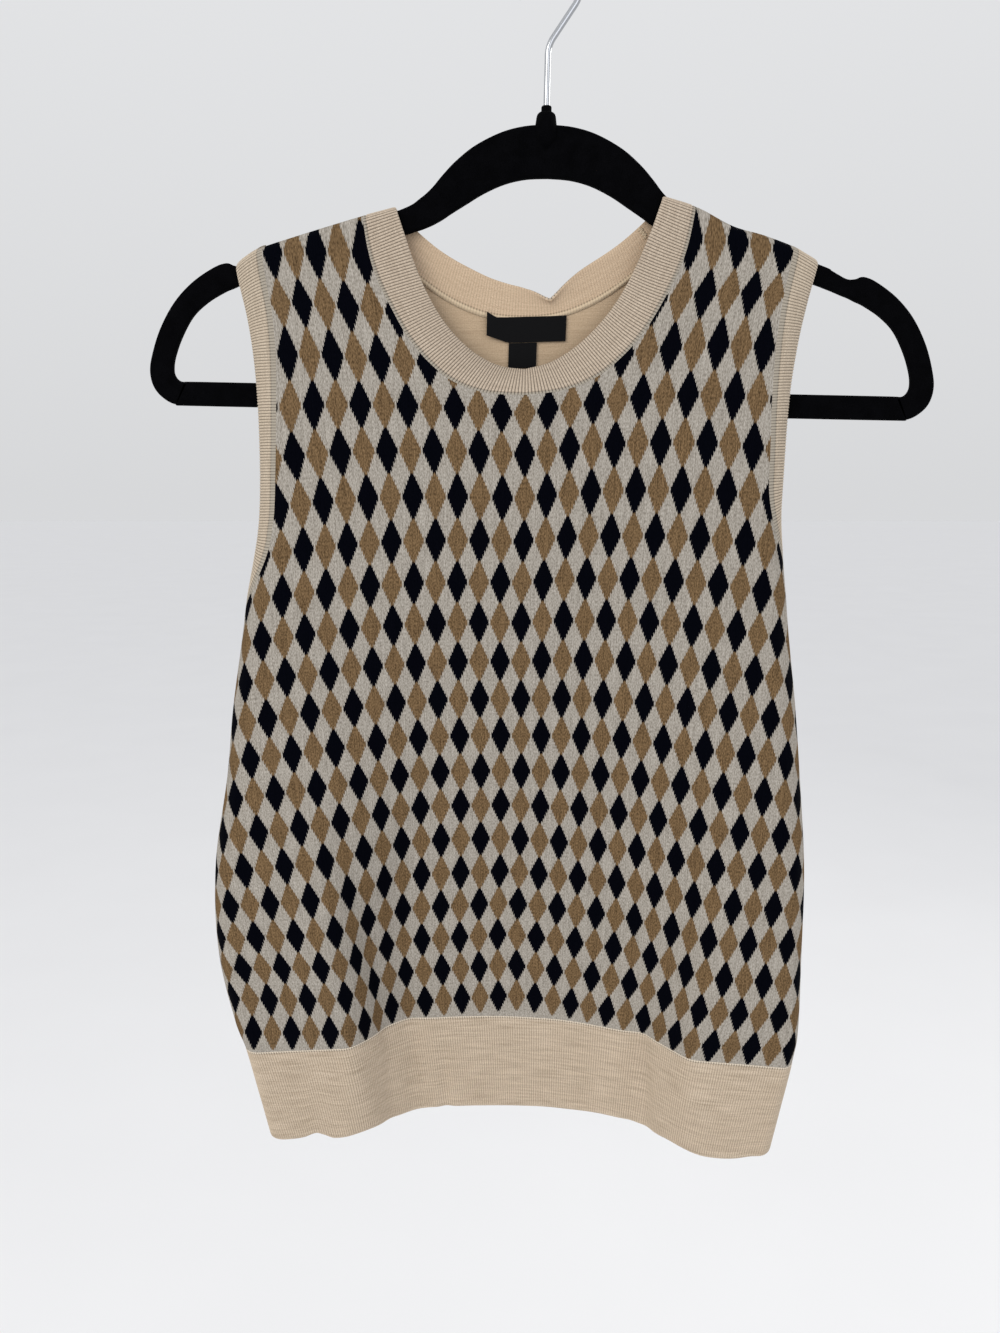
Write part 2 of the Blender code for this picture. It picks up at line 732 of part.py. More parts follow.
def neck_station(face, side, station):
    """The neckline's row number at a station counted from the shoulder."""
    if station <= STRAP_ROWS:
        return strap_neck(face, side, station)
    half = neck_table(face)[STRAP_END[face][0]].seam_half
    return neck_step(face, side, half * (NECK_STATIONS - station) / MIDDLE_COLUMNS, 0)


def make_neckband(name, look):
    """The ribbed neckband, one ring: front left, front right, back right and back left quarters."""
    quarters = (("front", -1), ("front", 1), ("back", 1), ("back", -1))

    def place(column, row, layer):
        quarter, station = divmod(column % (4 * NECK_STATIONS), NECK_STATIONS)
        face, side = quarters[quarter]
        if quarter % 2:
            station = NECK_STATIONS - station
        step = neck_station(face, side, station)
        across = row / RIB_ROWS
        point = neckband_point(face, side, step, across)
        if station == 0:
            point.y = 0.0
            return point - Vector((0, 0, RIB_WALL * layer))
        if layer and row == 0:
            seam = neck_row(face, side, step)[:2]
            point += RIB_WALL * inward(face, side, lambda a, b: on_cloth(face, side, a, b), *seam)
        elif layer:
            centre = station == NECK_STATIONS
            a = neckband_point(face, side, max(step - 0.02, 0.0), across)
            b = neckband_point(face, side, step if centre else step + 0.02, across)
            c = neckband_point(face, side, step, max(across - 0.02, 0.0))
            d = neckband_point(face, side, step, min(across + 0.02, 1.0))
            normal = (b - a).cross(d - c).normalized() * side * (1 if face == "front" else -1)
            if centre:
                normal.x = 0.0
            point += RIB_WALL * normal.normalized()
        return point

    return cloth_wall(name, 4 * NECK_STATIONS, RIB_ROWS, place, look, ring=True)


ARM_STATIONS = STRAP_ROWS + YOKE_ROWS + FLANK_COLUMNS
ARMBAND_ROWS = 2


def armband_place(face, side, station, inset):
    """A place (s, h) on the armband, in from the seam, stations from the shoulder to the side seam."""
    upper = STRAP_ROWS + YOKE_ROWS
    if station > upper:
        return armhole_turn(face, side, flank_turn(face, side, station - upper), inset)
    h = armhole_level(face, side, station)
    if station < STRAP_ROWS:
        x = outermost(face, side, 150.0) - ARMBAND_WIDTH + inset
        h = strap_level(face, side, station, 1.0, x)
    s = outermost(face, side, h) - ARMBAND_WIDTH + inset
    return s, h


def make_armband(name, side, look):
    """A ribbed armband, one ring: down the front and up the back."""

    def place(column, row, layer):
        station = column % (2 * ARM_STATIONS)
        face = "front"
        if station > ARM_STATIONS:
            face, station = "back", 2 * ARM_STATIONS - station
        inset = SEAM_GAP + (ARMBAND_WIDTH - SEAM_GAP) * row / ARMBAND_ROWS
        s, h = armband_place(face, side, station, inset)
        if station == 0:
            point = on_cloth(face, side, s, h)
            point.y = 0.0
            return point - Vector((0, 0, RIB_WALL * layer))
        if station == ARM_STATIONS:
            point = on_cloth(face, side, s, h)
            return point - Vector((side * RIB_WALL * layer, 0, 0))
        seam = None if row else armband_place(face, side, station, 0.0)
        return wall_point(face, side, s, h, RIB_WALL * layer, seam)

    return cloth_wall(name, 2 * ARM_STATIONS, ARMBAND_ROWS, place, look, ring=True)


def make_label(name, middle, half, top, bottom, look):
    """A woven label on the inside of the back, its back face just clear of the knit."""
    columns = 4
    clear = RIB_WALL + SEAM_GAP

    def place(column, row, layer):
        x = middle + half * (2 * column / columns - 1)
        side = -1 if x < 0 else 1
        h = top + (bottom - top) * row
        return wall_point("back", side, abs(x), h, clear + LABEL_WALL * layer)

    return cloth_wall(name, columns, 1, place, look)


def hanger_tilt():
    return Matrix.Rotation(math.radians(HANGER_TILT), 4, "Y")


HANGER_STEPS_PER_CORNER = 3
# How many steps each row of the hanger's table is drawn in: more on its curves.
HANGER_DIVISIONS = [2] * 8 + [1] * 2 + [2] * 14 + [1, 2, 2]


def hanger_profile():
    """The bar's rounded section: at the outer edge or not, front or back, and the corner's turn."""
    profile = []
    corners = ((0, -1), (1, -1), (1, 1), (0, 1))
    for k, (outer, front) in enumerate(corners):
        for j in range(HANGER_STEPS_PER_CORNER):
            a = math.pi / 2 * (k + j / (HANGER_STEPS_PER_CORNER - 1)) + math.pi
            profile.append((outer, front, math.cos(a), math.sin(a)))
    return profile


def make_hanger(name, look):
    """The hanger's frame, one ring of a rounded bar, with the turned neck that holds the hook."""
    profile = hanger_profile()
    stations = [k + j / count for k, count in enumerate(HANGER_DIVISIONS) for j in range(count)]
    half = len(stations)
    stations.append(float(len(HANGER) - 1))

    def place(column, row):
        station = column % (2 * half)
        side = 1
        if station > half:
            side, station = -1, 2 * half - station
        bar = along(HANGER, stations[station])
        inner = Vector((side * bar.inner_x, 0, bar.inner_z))
        outer = Vector((side * bar.outer_x, 0, bar.outer_z))
        towards = (outer - inner).normalized()
        at_outer, front, cosine, sine = profile[row % len(profile)]
        corner = outer - towards * HANGER_EDGE_RADIUS if at_outer else inner + towards * HANGER_EDGE_RADIUS
        corner.y = front * (HANGER_THICKNESS / 2 - HANGER_EDGE_RADIUS)
        return corner + HANGER_EDGE_RADIUS * (towards * cosine + Vector((0, sine, 0)))

    bm = bmesh.new()
    columns, rows = 2 * half, len(profile)
    bmesh.ops.create_grid(bm, x_segments=columns, y_segments=rows, size=0.5)
    for vert in bm.verts:
        column = round((vert.co.x + 0.5) * columns)
        row = round((vert.co.y + 0.5) * rows)
        vert.co = place(column, row) * MM
    bmesh.ops.remove_doubles(bm, verts=bm.verts, dist=1e-7)
    hanger = finish(name, bm, look)
    hanger.matrix_world = hanger_tilt()

    neck = turned("hanger_neck_core", NECK_PROFILE, 20, look)
    bore = turned("hook_bore", BORE_PROFILE, 16, look)
    for tool, operation in ((neck, "UNION"), (bore, "DIFFERENCE")):
        tool.matrix_world = hanger_tilt()
        tool.hide_render = True
        tool.display_type = "WIRE"
        cut = hanger.modifiers.new(tool.name, "BOOLEAN")
        cut.operation = operation
        cut.object = tool
    return hanger


def turned(name, profile, sides, look):
    """A solid of revolution about the hook's axis, closed at both ends."""
    bm = bmesh.new()
    rings = []
    for row in profile:
        made = bmesh.ops.create_circle(bm, cap_ends=False, segments=sides, radius=row.radius * MM)
        bmesh.ops.translate(bm, verts=made["verts"], vec=(0, 0, row.z * MM))
        rings.append(list({edge for vert in made["verts"] for edge in vert.link_edges}))
    for lower, upper in zip(rings, rings[1:]):
        bmesh.ops.bridge_loops(bm, edges=lower + upper)
    bmesh.ops.holes_fill(bm, edges=rings[0] + rings[-1], sides=0)
    return finish(name, bm, look)


def hook_route():
    """The wire's centre line: up the stem, over the bend and round the loop to its open end."""
    centre = Vector((0, 0, WIRE_RADIUS - HOOK_RADIUS))
    leave = math.radians(58)
    join = centre + HOOK_RADIUS * Vector((math.sin(leave), 0, -math.cos(leave)))
    elbow = Vector((0, 0, BEND_LEVEL))
    rise = (join - elbow).normalized()
    route = [Vector((0, 0, STEM_BOTTOM)), Vector((0, 0, BEND_LEVEL - BEND_RADIUS))]
    for k in range(1, 6):
        t = k / 6
        start = elbow - Vector((0, 0, BEND_RADIUS))
        end = elbow + rise * BEND_RADIUS
        route.append(start * (1 - t) ** 2 + elbow * 2 * t * (1 - t) + end * t**2)
    route.append(elbow + rise * BEND_RADIUS)
    loop_end = math.radians(290)
    turns = 22
    for k in range(turns + 1):
        a = leave + (loop_end - leave) * k / turns
        route.append(centre + HOOK_RADIUS * Vector((math.sin(a), 0, -math.cos(a))))
    return route


def make_hook(name, look):
    curve = bpy.data.curves.new(name, "CURVE")
    curve.dimensions = "3D"
    curve.bevel_depth = WIRE_RADIUS * MM
    curve.bevel_resolution = 3
    curve.use_fill_caps = True
    route = hook_route()
    spline = curve.splines.new("POLY")
    spline.points.add(len(route) - 1)
    for point, place in zip(spline.points, route):
        point.co = (*(place * MM), 1.0)
    curve.materials.append(look)
    made = bpy.data.objects.new(name, curve)
    bpy.context.scene.collection.objects.link(made)
    made.matrix_world = hanger_tilt()
    return made


def main():
    for old in list(bpy.data.objects):
        bpy.data.objects.remove(old, do_unlink=True)

    jacquard = material("oatmeal_jacquard_knit", (0.58, 0.50, 0.42), 0.9)
    jersey = material("cream_jersey_knit", (0.76, 0.62, 0.43), 0.9)
    rib = material("cream_rib_knit", (0.76, 0.62, 0.43), 0.9)
    satin = material("black_label_satin", (0.01, 0.01, 0.012), 0.5)
    flock = material("black_velvet_flock", (0.004, 0.004, 0.005), 0.95)
    chrome = material("chromed_wire", (0.8, 0.8, 0.82), 0.12, 1.0)

    make_panel("front_panel", "front", jacquard)
    make_panel("back_panel", "back", jersey)
    make_hem("front_hem_rib", "front", rib)
    make_hem("back_hem_rib", "back", rib)
    make_neckband("neckband", rib)
    make_armband("right_armband", -1, rib)
    make_armband("left_armband", 1, rib)
    make_label("main_label", 0.0, LABEL_HALF, LABEL_TOP, LABEL_BOTTOM, satin)
    make_label("size_tab", TAB_MIDDLE, TAB_HALF, LABEL_BOTTOM + SEAM_GAP, TAB_BOTTOM, satin)
    make_hanger("hanger_frame", flock)
    make_hook("hanger_hook", chrome)


main()
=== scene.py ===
"""A knitted sweater vest hanging on a slim flocked hanger: a harlequin front, a plain back, ribbed
neckband, armbands and hem, and the woven labels inside the back neck."""

import math
from collections import namedtuple
from functools import lru_cache

import bmesh
import bpy
import numpy as np
from mathutils import Matrix, Vector


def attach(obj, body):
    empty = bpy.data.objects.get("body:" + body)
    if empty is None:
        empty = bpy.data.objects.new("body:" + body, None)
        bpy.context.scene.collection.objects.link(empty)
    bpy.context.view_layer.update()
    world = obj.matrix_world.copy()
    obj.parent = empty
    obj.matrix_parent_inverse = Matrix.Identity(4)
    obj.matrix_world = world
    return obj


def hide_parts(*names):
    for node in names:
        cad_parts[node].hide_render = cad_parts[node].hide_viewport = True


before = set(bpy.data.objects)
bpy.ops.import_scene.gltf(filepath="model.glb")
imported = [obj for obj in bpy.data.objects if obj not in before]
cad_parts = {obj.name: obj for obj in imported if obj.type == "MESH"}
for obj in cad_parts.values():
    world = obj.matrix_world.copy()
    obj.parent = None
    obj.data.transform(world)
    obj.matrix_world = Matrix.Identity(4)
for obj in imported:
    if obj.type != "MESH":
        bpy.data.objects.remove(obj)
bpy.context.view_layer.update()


# ----------------------------------------------------------------------
# The hook.  A steel wire bent into a round loop and pushed into the neck of the frame, where it
# turns.  It is polished and chromed, so it shows the room as narrow bright and dark bands.
# ----------------------------------------------------------------------

# Sizes are in millimetres, and a finished mesh is scaled to metres.
MM = 0.001
WIRE_RADIUS = 1.7
HOOK_RADIUS = 16.5
STEM_BOTTOM = -88.0
BEND_LEVEL = -44.0
BEND_RADIUS = 5.0
BEND_STEPS = 12
LOOP_STEPS = 64
HANGER_TILT = Matrix.Rotation(math.radians(1.17), 4, "Y")


def hook_route():
    """The wire's centre line: up the stem, over the bend and round the loop to its open end."""
    centre = Vector((0, 0, WIRE_RADIUS - HOOK_RADIUS))
    leave, loop_end = math.radians(58), math.radians(290)
    elbow = Vector((0, 0, BEND_LEVEL))
    join = centre + HOOK_RADIUS * Vector((math.sin(leave), 0, -math.cos(leave)))
    rise = (join - elbow).normalized()
    start, end = elbow - Vector((0, 0, BEND_RADIUS)), elbow + rise * BEND_RADIUS
    route = [Vector((0, 0, STEM_BOTTOM)), start]
    for k in range(1, BEND_STEPS):
        t = k / BEND_STEPS
        route.append(start * (1 - t) ** 2 + elbow * 2 * t * (1 - t) + end * t**2)
    route.append(end)
    for k in range(LOOP_STEPS + 1):
        a = leave + (loop_end - leave) * k / LOOP_STEPS
        route.append(centre + HOOK_RADIUS * Vector((math.sin(a), 0, -math.cos(a))))
    return route


def linear(code):
    """An sRGB hex colour as the linear colour that a shader takes."""
    parts = (int(code[k : k + 2], 16) / 255 for k in (1, 3, 5))
    return (*(c / 12.92 if c <= 0.04045 else ((c + 0.055) / 1.055) ** 2.4 for c in parts), 1.0)


def feed(tree, sockets, fed):
    """Feed a node's sockets, each with a plain value or with another node's output."""
    for place, value in fed.items() if isinstance(fed, dict) else enumerate(fed):
        if isinstance(value, bpy.types.NodeSocket):
            tree.links.new(value, sockets[place])
        else:
            sockets[place].default_value = value


def add(tree, kind, fed=(), output=0, **settings):
    """Add a shader node with its settings, feed its sockets, and give back its output or outputs."""
    made = tree.nodes.new("ShaderNode" + kind)
    for name, value in settings.items():
        setattr(made, name, value)
    feed(tree, made.inputs, fed)
    return made.outputs[output]


def new_look(name):
    """A new material, its node tree, and the sockets of its one Principled shader."""
    made = bpy.data.materials.new(name)
    made.use_nodes = True
    tree = made.node_tree
    return made, tree, tree.nodes["Principled BSDF"].inputs


def chromed_steel():
    # Chrome plate over drawn wire: a near-white metal, mirror smooth, with faint draw lines.
    look, tree, shader = new_look("chromed_steel_wire")
    place = add(tree, "TexCoord", output="Object")
    drawn = add(tree, "Mapping", {"Vector": place, "Scale": (9000, 9000, 120)})
    grain = add(tree, "TexNoise", {"Vector": drawn, "Scale": 1.0, "Detail": 2.0})
    rough = add(tree, "MapRange", (grain, 0.3, 0.7, 0.08, 0.18))
    bump = add(tree, "Bump", {"Strength": 0.1, "Distance": 0.02 * MM, "Height": grain})
    feed(tree, shader, {"Base Color": linear("#B9BBBE"), "Metallic": 1.0})
    feed(tree, shader, {"Roughness": rough, "Normal": bump})
    return look


def stand(name, data):
    """Stand a mesh, a light or a camera in the scene as an object."""
    made = bpy.data.objects.new(name, data)
    bpy.context.scene.collection.objects.link(made)
    return made


SHARP_FROM = math.radians(62)


def put(name, mesh, *looks):
    """Make a finished mesh a piece of the vest, on its one body."""
    for look in looks:
        mesh.materials.append(look)
    mesh.shade_smooth()
    mesh.set_sharp_from_angle(angle=SHARP_FROM)
    made = stand(name, mesh)
    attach(made, "root")
    return made


def finished(bm, name):
    """A bmesh turned into a mesh, and freed."""
    mesh = bpy.data.meshes.new(name)
    bm.to_mesh(mesh)
    bm.free()
    return mesh


def skin(bm, rings):
    """Bridge each ring of vertices to the next, close both ends, and turn the faces outwards."""
    loops = [list({edge for vert in ring for edge in vert.link_edges}) for ring in rings]
    for lower, upper in zip(loops, loops[1:]):
        bmesh.ops.bridge_loops(bm, edges=lower + upper)
    bmesh.ops.holes_fill(bm, edges=loops[0] + loops[-1], sides=0)
    bmesh.ops.recalc_face_normals(bm, faces=bm.faces)


def wire_mesh(route, radius, sides, rounded, turned):
    """A round wire along a route of points, turned to where it belongs.

    rounded is how far its ends bulge, as a share of its radius.
    """
    bm = bmesh.new()
    rings = []
    last = len(route) - 1
    across = Vector((0, 1, 0))
    stations = []
    for k, point in enumerate(route):
        ahead = (route[min(k + 1, last)] - route[max(k - 1, 0)]).normalized()
        stations.append((point, ahead, 1.0))
    start, end = stations[0], stations[-1]
    caps = [(math.cos(a), math.sin(a)) for a in (math.radians(15 * k) for k in range(1, 6))]
    before = [(start[0] - start[1] * radius * rounded * c, start[1], s) for c, s in caps]
    after = [(end[0] + end[1] * radius * rounded * c, end[1], s) for c, s in reversed(caps)]
    for point, ahead, size in before + stations + after:
        side = across.cross(ahead).normalized()
        turn = Matrix((side, across, ahead)).transposed().to_4x4()
        ring = bmesh.ops.create_circle(bm, segments=sides, radius=radius * size)["verts"]
        bmesh.ops.transform(bm, matrix=Matrix.Translation(point) @ turn, verts=ring)
        rings.append(ring)
    skin(bm, rings)
    bmesh.ops.transform(bm, matrix=Matrix.Scale(MM, 4) @ turned, verts=bm.verts)
    return finished(bm, "wire")


hook_mesh = wire_mesh(hook_route(), WIRE_RADIUS, sides=24, rounded=0.8, turned=HANGER_TILT)
hook = put("chromed_hook", hook_mesh, chromed_steel())
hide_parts("hanger_hook")


# ----------------------------------------------------------------------
# The hanger's frame.  One slim moulding of stiff plastic with an open window, notched near the
# ends of its arms, and coated all over with short black nylon flock.  The flock swallows light,
# so the frame is almost black, with a grey bloom where it is seen along its edges.
# ----------------------------------------------------------------------

HANGER_THICKNESS = 5.0
HANGER_SHIFT = 1.7
EDGE_RADIUS = 1.6


def rows_of(kind, *rows):
    """A table whose columns have the names of the kind, from rows of plain values."""
    return [kind(*row) for row in rows]


# In the hanger's own upright position, from the top middle to the bottom middle of one half: the
# outer edge and the inner edge that faces it.
Bar = namedtuple("Bar", "outer_x outer_z inner_x inner_z")
HANGER = rows_of(
    Bar,
    (0.0, -83.7, 0.0, -110.9), (13.0, -84.7, 12.0, -111.6), (26.0, -88.1, 23.5, -114.3),
    (40.0, -95.0, 35.0, -119.4), (50.5, -103.1, 45.0, -125.4), (58.0, -110.8, 52.5, -130.0),
    (63.5, -117.2, 59.0, -134.2), (70.0, -122.8, 66.0, -137.6), (80.0, -128.6, 76.0, -141.0),
    (117.0, -141.6, 113.0, -152.0), (154.0, -153.4, 150.0, -163.2),
    (159.5, -155.9, 155.5, -165.0), (163.5, -158.0, 160.5, -166.7),
    (168.5, -160.2, 166.0, -168.8), (173.0, -160.1, 170.0, -170.2),
    (177.5, -158.8, 174.0, -172.0), (184.9, -161.4, 179.0, -174.1),
    (196.9, -169.4, 188.6, -179.8), (207.4, -180.4, 197.1, -187.6),
    (215.9, -195.0, 203.8, -199.0), (221.1, -210.0, 208.0, -210.0),
    (222.3, -219.0, 209.0, -217.0), (220.3, -226.8, 207.8, -220.8),
    (215.4, -232.4, 205.2, -222.9), (208.4, -235.8, 201.1, -223.2),
    (196.9, -236.3, 192.6, -223.0), (98.0, -236.3, 96.0, -223.0), (0.0, -236.3, 0.0, -223.0),
)
# The round neck that the hook turns in.
Turned = namedtuple("Turned", "z radius")
HANGER_NECK = rows_of(
    Turned,
    (-98.0, 1.8), (-90.0, 6.4), (-85.0, 6.0), (-79.8, 5.3), (-78.6, 4.9), (-77.9, 4.2),
    (-77.5, 3.1), (-77.2, 2.8), (-74.9, 2.8), (-74.4, 2.6), (-74.2, 2.2),
)


def along(table, step):
    """A table's row at a fractional row number, on a smooth curve through the rows."""
    last = len(table) - 1
    i = min(int(step), last - 1)
    t = step - i
    rows = [table[max(i - 1, 0)], table[i], table[i + 1], table[min(i + 2, last)]]
    weights = (
        (-t + 2 * t**2 - t**3) / 2,
        (2 - 5 * t**2 + 3 * t**3) / 2,
        (t + 4 * t**2 - 3 * t**3) / 2,
        (-(t**2) + t**3) / 2,
    )
    values = (sum(w * row[k] for w, row in zip(weights, rows)) for k in range(len(table[0])))
    return type(table[0])(*values)


def grid_place(vert, columns, rows):
    """The whole column and row of a vertex of a grid that is 1 wide and 1 deep."""
    return round((vert.co.x + 0.5) * columns), round((vert.co.y + 0.5) * rows)


def hanger_mesh():
    """One ring of a rounded bar round the window, with the turned neck joined on."""
    corners = ((0, -1), (1, -1), (1, 1), (0, 1))
    steps = 5
    profile = [
        (outer, front, math.pi / 2 * (k + j / (steps - 1)) + math.pi)
        for k, (outer, front) in enumerate(corners)
        for j in range(steps)
    ]
    per_row = 5
    half = (len(HANGER) - 1) * per_row

    def place(column, row):
        station = column % (2 * half)
        side = 1 if station <= half else -1
        bar = along(HANGER, min(station, 2 * half - station) / per_row)
        inner = Vector((side * bar.inner_x + HANGER_SHIFT, 0, bar.inner_z))
        outer = Vector((side * bar.outer_x + HANGER_SHIFT, 0, bar.outer_z))
        towards = (outer - inner).normalized()
        at_outer, front, turn = profile[row % len(profile)]
        corner = outer - towards * EDGE_RADIUS if at_outer else inner + towards * EDGE_RADIUS
        corner.y = front * (HANGER_THICKNESS / 2 - EDGE_RADIUS)
        return corner + EDGE_RADIUS * (towards * math.cos(turn) + Vector((0, math.sin(turn), 0)))

    bm = bmesh.new()
    columns, rows = 2 * half, len(profile)
    bmesh.ops.create_grid(bm, x_segments=columns, y_segments=rows, size=0.5)
    for vert in bm.verts:
        vert.co = place(*grid_place(vert, columns, rows))
    bmesh.ops.remove_doubles(bm, verts=bm.verts, dist=1e-4)
    rings = []
    for row in HANGER_NECK:
        ring = bmesh.ops.create_circle(bm, segments=32, radius=row.radius)["verts"]
        bmesh.ops.translate(bm, verts=ring, vec=(0, 0, row.z))
        rings.append(ring)
    skin(bm, rings)
    bmesh.ops.transform(bm, matrix=Matrix.Scale(MM, 4) @ HANGER_TILT, verts=bm.verts)
    return finished(bm, "hanger")


# A Mix node that mixes two colours, its sockets 6 and 7, by its socket 0.
COLOURS = {"data_type": "RGBA", "output": 2}


def black_flock():
    # Nylon fibres 0.5 mm long, blown on to glue: dull black with a faint grey bloom, mottled where
    # the fibres lean different ways.  The fibres are drawn 0.4 mm apart, coarser than they are.
    look, tree, shader = new_look("black_nylon_flock")
    place = add(tree, "TexCoord", output="Object")
    lean = add(tree, "TexNoise", {"Vector": place, "Scale": 160.0, "Detail": 2.0})
    fibre = add(tree, "TexNoise", {"Vector": place, "Scale": 2500.0, "Detail": 1.0})
    mottle = add(tree, "Math", (lean, 0.6, fibre), operation="MULTIPLY_ADD")
    ramp = add(tree, "MapRange", (mottle, 0.6, 1.0, 0.0, 1.0))
    colour = add(tree, "Mix", {0: ramp, 6: linear("#010102"), 7: linear("#050507")}, **COLOURS)
    bump = add(tree, "Bump", {"Strength": 0.6, "Distance": 0.25 * MM, "Height": fibre})
    finish = {"Base Color": colour, "Roughness": 0.95, "Specular IOR Level": 0.04, "Normal": bump}
    feed(tree, shader, finish)
    return look


hanger = put("flocked_hanger", hanger_mesh(), black_flock())
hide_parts("hanger_frame")


# ----------------------------------------------------------------------
# The front panel.  One piece of three-colour jacquard knit, oatmeal with navy and tan diamonds
# tip to tip, on a fine gauge.  It hangs from the hanger's arms, is linked to the bands round its
# edges, and folds softly forward at both sides towards the hem.
# ----------------------------------------------------------------------

PANEL_WALL = 1.6
ARMBAND_WIDTH = 16.4
# The way that each face of the vest looks along Y.
FACING = {"front": -1, "back": 1}
HEM_SEAM = 602.0
HEM_EDGE = 661.0

# Every knitted piece lies on one hanging surface.  h is the depth below the rail, and s is the
# distance along the cloth from the centre line.
# Outline from the front.  half: half width.  slope: rise of a course towards +X.  drop: its sag,
# 150 mm out from the middle.
SAG_REACH = 150
Outline = namedtuple("Outline", "h centre half slope drop")
OUTLINE = rows_of(
    Outline,
    (115, -10.5, 166.0, 0.020, 0.0),
    (156, -11.5, 161.5, 0.020, 0.0),
    (181, -11.8, 156.0, 0.026, 0.0),
    (204, -12.5, 152.5, 0.028, -1.0),
    (235, -13.5, 150.0, 0.030, -3.0),
    (276, -14.5, 149.5, 0.026, -1.0),
    (300, -15.8, 150.5, 0.020, 2.0),
    (336, -17.5, 156.5, 0.010, 6.0),
    (352, -17.8, 158.7, 0.006, 7.5),
    (394, -18.5, 164.5, 0.000, 8.0),
    (435, -18.9, 168.0, -0.004, 8.0),
    (486, -20.9, 173.0, -0.010, 8.0),
    (540, -20.9, 172.0, -0.015, 7.0),
    (586, -17.0, 167.0, -0.020, 6.0),
    (604, -15.5, 162.5, -0.022, 6.0),
    (630, -15.0, 157.0, -0.022, 6.0),
    (662, -14.5, 150.5, -0.022, 6.0),
)
# depth: how far the front's middle stands before the hanger.  edge: the same for its outermost
# line.  corner: width of the turn between them.
Front = namedtuple("Front", "h depth edge corner")
FRONT = rows_of(
    Front,
    (115, 5.6, 5.2, 12.0),
    (160, 7.5, 5.2, 13.0),
    (200, 11.5, 5.3, 14.0),
    (235, 15.0, 5.6, 15.0),
    (280, 18.0, 6.5, 16.0),
    (345, 20.0, 9.0, 17.0),
    (394, 20.0, 13.0, 16.0),
    (450, 19.0, 21.0, 15.0),
    (505, 17.0, 29.0, 14.0),
    (555, 15.0, 34.0, 12.0),
    (602, 14.0, 38.0, 10.0),
    (661, 14.0, 40.0, 9.0),
)
# Where the sides fold in between the layers, from the outermost line of the front.
Side = namedtuple("Side", "h seam_in seam_y back_in back_edge")
SIDE = rows_of(
    Side,
    (115, 30.0, 0.0, 1.0, 5.2),
    (235, 30.0, 0.0, 2.0, 5.4),
    (280, 30.0, 0.0, 3.5, 6.0),
    (345, 30.0, 0.0, 4.0, 8.0),
    (394, 22.0, -6.0, 3.0, 5.0),
    (450, 9.0, -16.0, 1.0, -5.0),
    (505, 1.0, -27.5, 0.0, -22.0),
    (555, 0.0, -33.5, 0.0, -32.0),
    (602, 0.0, -37.5, 0.0, -36.5),
    (661, 0.0, -39.5, 0.0, -38.5),
)
Back = namedtuple("Back", "h depth turn")
BACK = rows_of(
    Back,
    (115, 5.6, 12.0), (160, 7.0, 12.0), (200, 8.5, 13.0), (280, 11.0, 16.0), (345, 13.0, 20.0),
    (394, 13.0, 24.0), (450, 12.0, 28.0), (505, 11.0, 32.0), (602, 9.0, 34.0), (661, 9.0, 34.0),
)
# Folds that run down the cloth, each a soft step forward or, on the back, a soft ridge.
Fold = namedtuple("Fold", "h x width rise")
LEFT_LOBE = rows_of(
    Fold,
    (290, 70, 110, 0.0), (345, 74, 110, 4.0), (394, 78, 100, 9.0), (450, 82, 82, 18.0),
    (505, 83, 58, 29.0), (555, 84, 46, 34.0), (602, 84, 40, 35.0), (661, 83, 44, 33.0),
)
RIGHT_LOBE = rows_of(
    Fold,
    (290, 75, 110, 0.0), (345, 78, 110, 4.0), (394, 82, 100, 10.0), (450, 90, 90, 20.0),
    (505, 94, 76, 27.0), (555, 92, 54, 30.0), (602, 86, 34, 28.0), (661, 84, 36, 30.0),
)
RIGHT_RAMP = rows_of(
    Fold,
    (450, 50, 60, 0.0), (505, 50, 60, 2.0), (555, 50, 56, 7.0), (602, 46, 52, 12.0),
    (661, 44, 52, 9.0),
)
BACK_LEFT_RIDGE = rows_of(
    Fold,
    (230, 62, 26, 0.0), (345, 70, 24, 5.0), (450, 80, 28, 8.0), (560, 86, 34, 5.0),
    (661, 90, 36, 2.0),
)
BACK_RIGHT_RIDGE = rows_of(
    Fold,
    (250, 52, 28, 0.0), (345, 58, 24, 4.0), (450, 64, 26, 7.0), (560, 70, 30, 6.0),
    (661, 72, 34, 3.0),
)
BACK_MIDDLE_RIDGE = rows_of(
    Fold,
    (300, 4, 22, 0.0), (394, 8, 24, 4.0), (500, 12, 28, 5.0), (661, 16, 34, 2.0),
)
# The shoulder line over the hanger's arms, on the -X and +X sides.
Ridge = namedtuple("Ridge", "x left right")
RIDGE = rows_of(
    Ridge,
    (73, 124.3, 121.5), (93, 129.0, 128.0), (113, 134.3, 138.0), (130, 139.0, 143.0),
    (147, 143.9, 149.2), (153, 146.6, 152.2), (159, 150.2, 155.2), (165, 154.2, 158.4),
)
SHOULDER_ROLL = 5.0
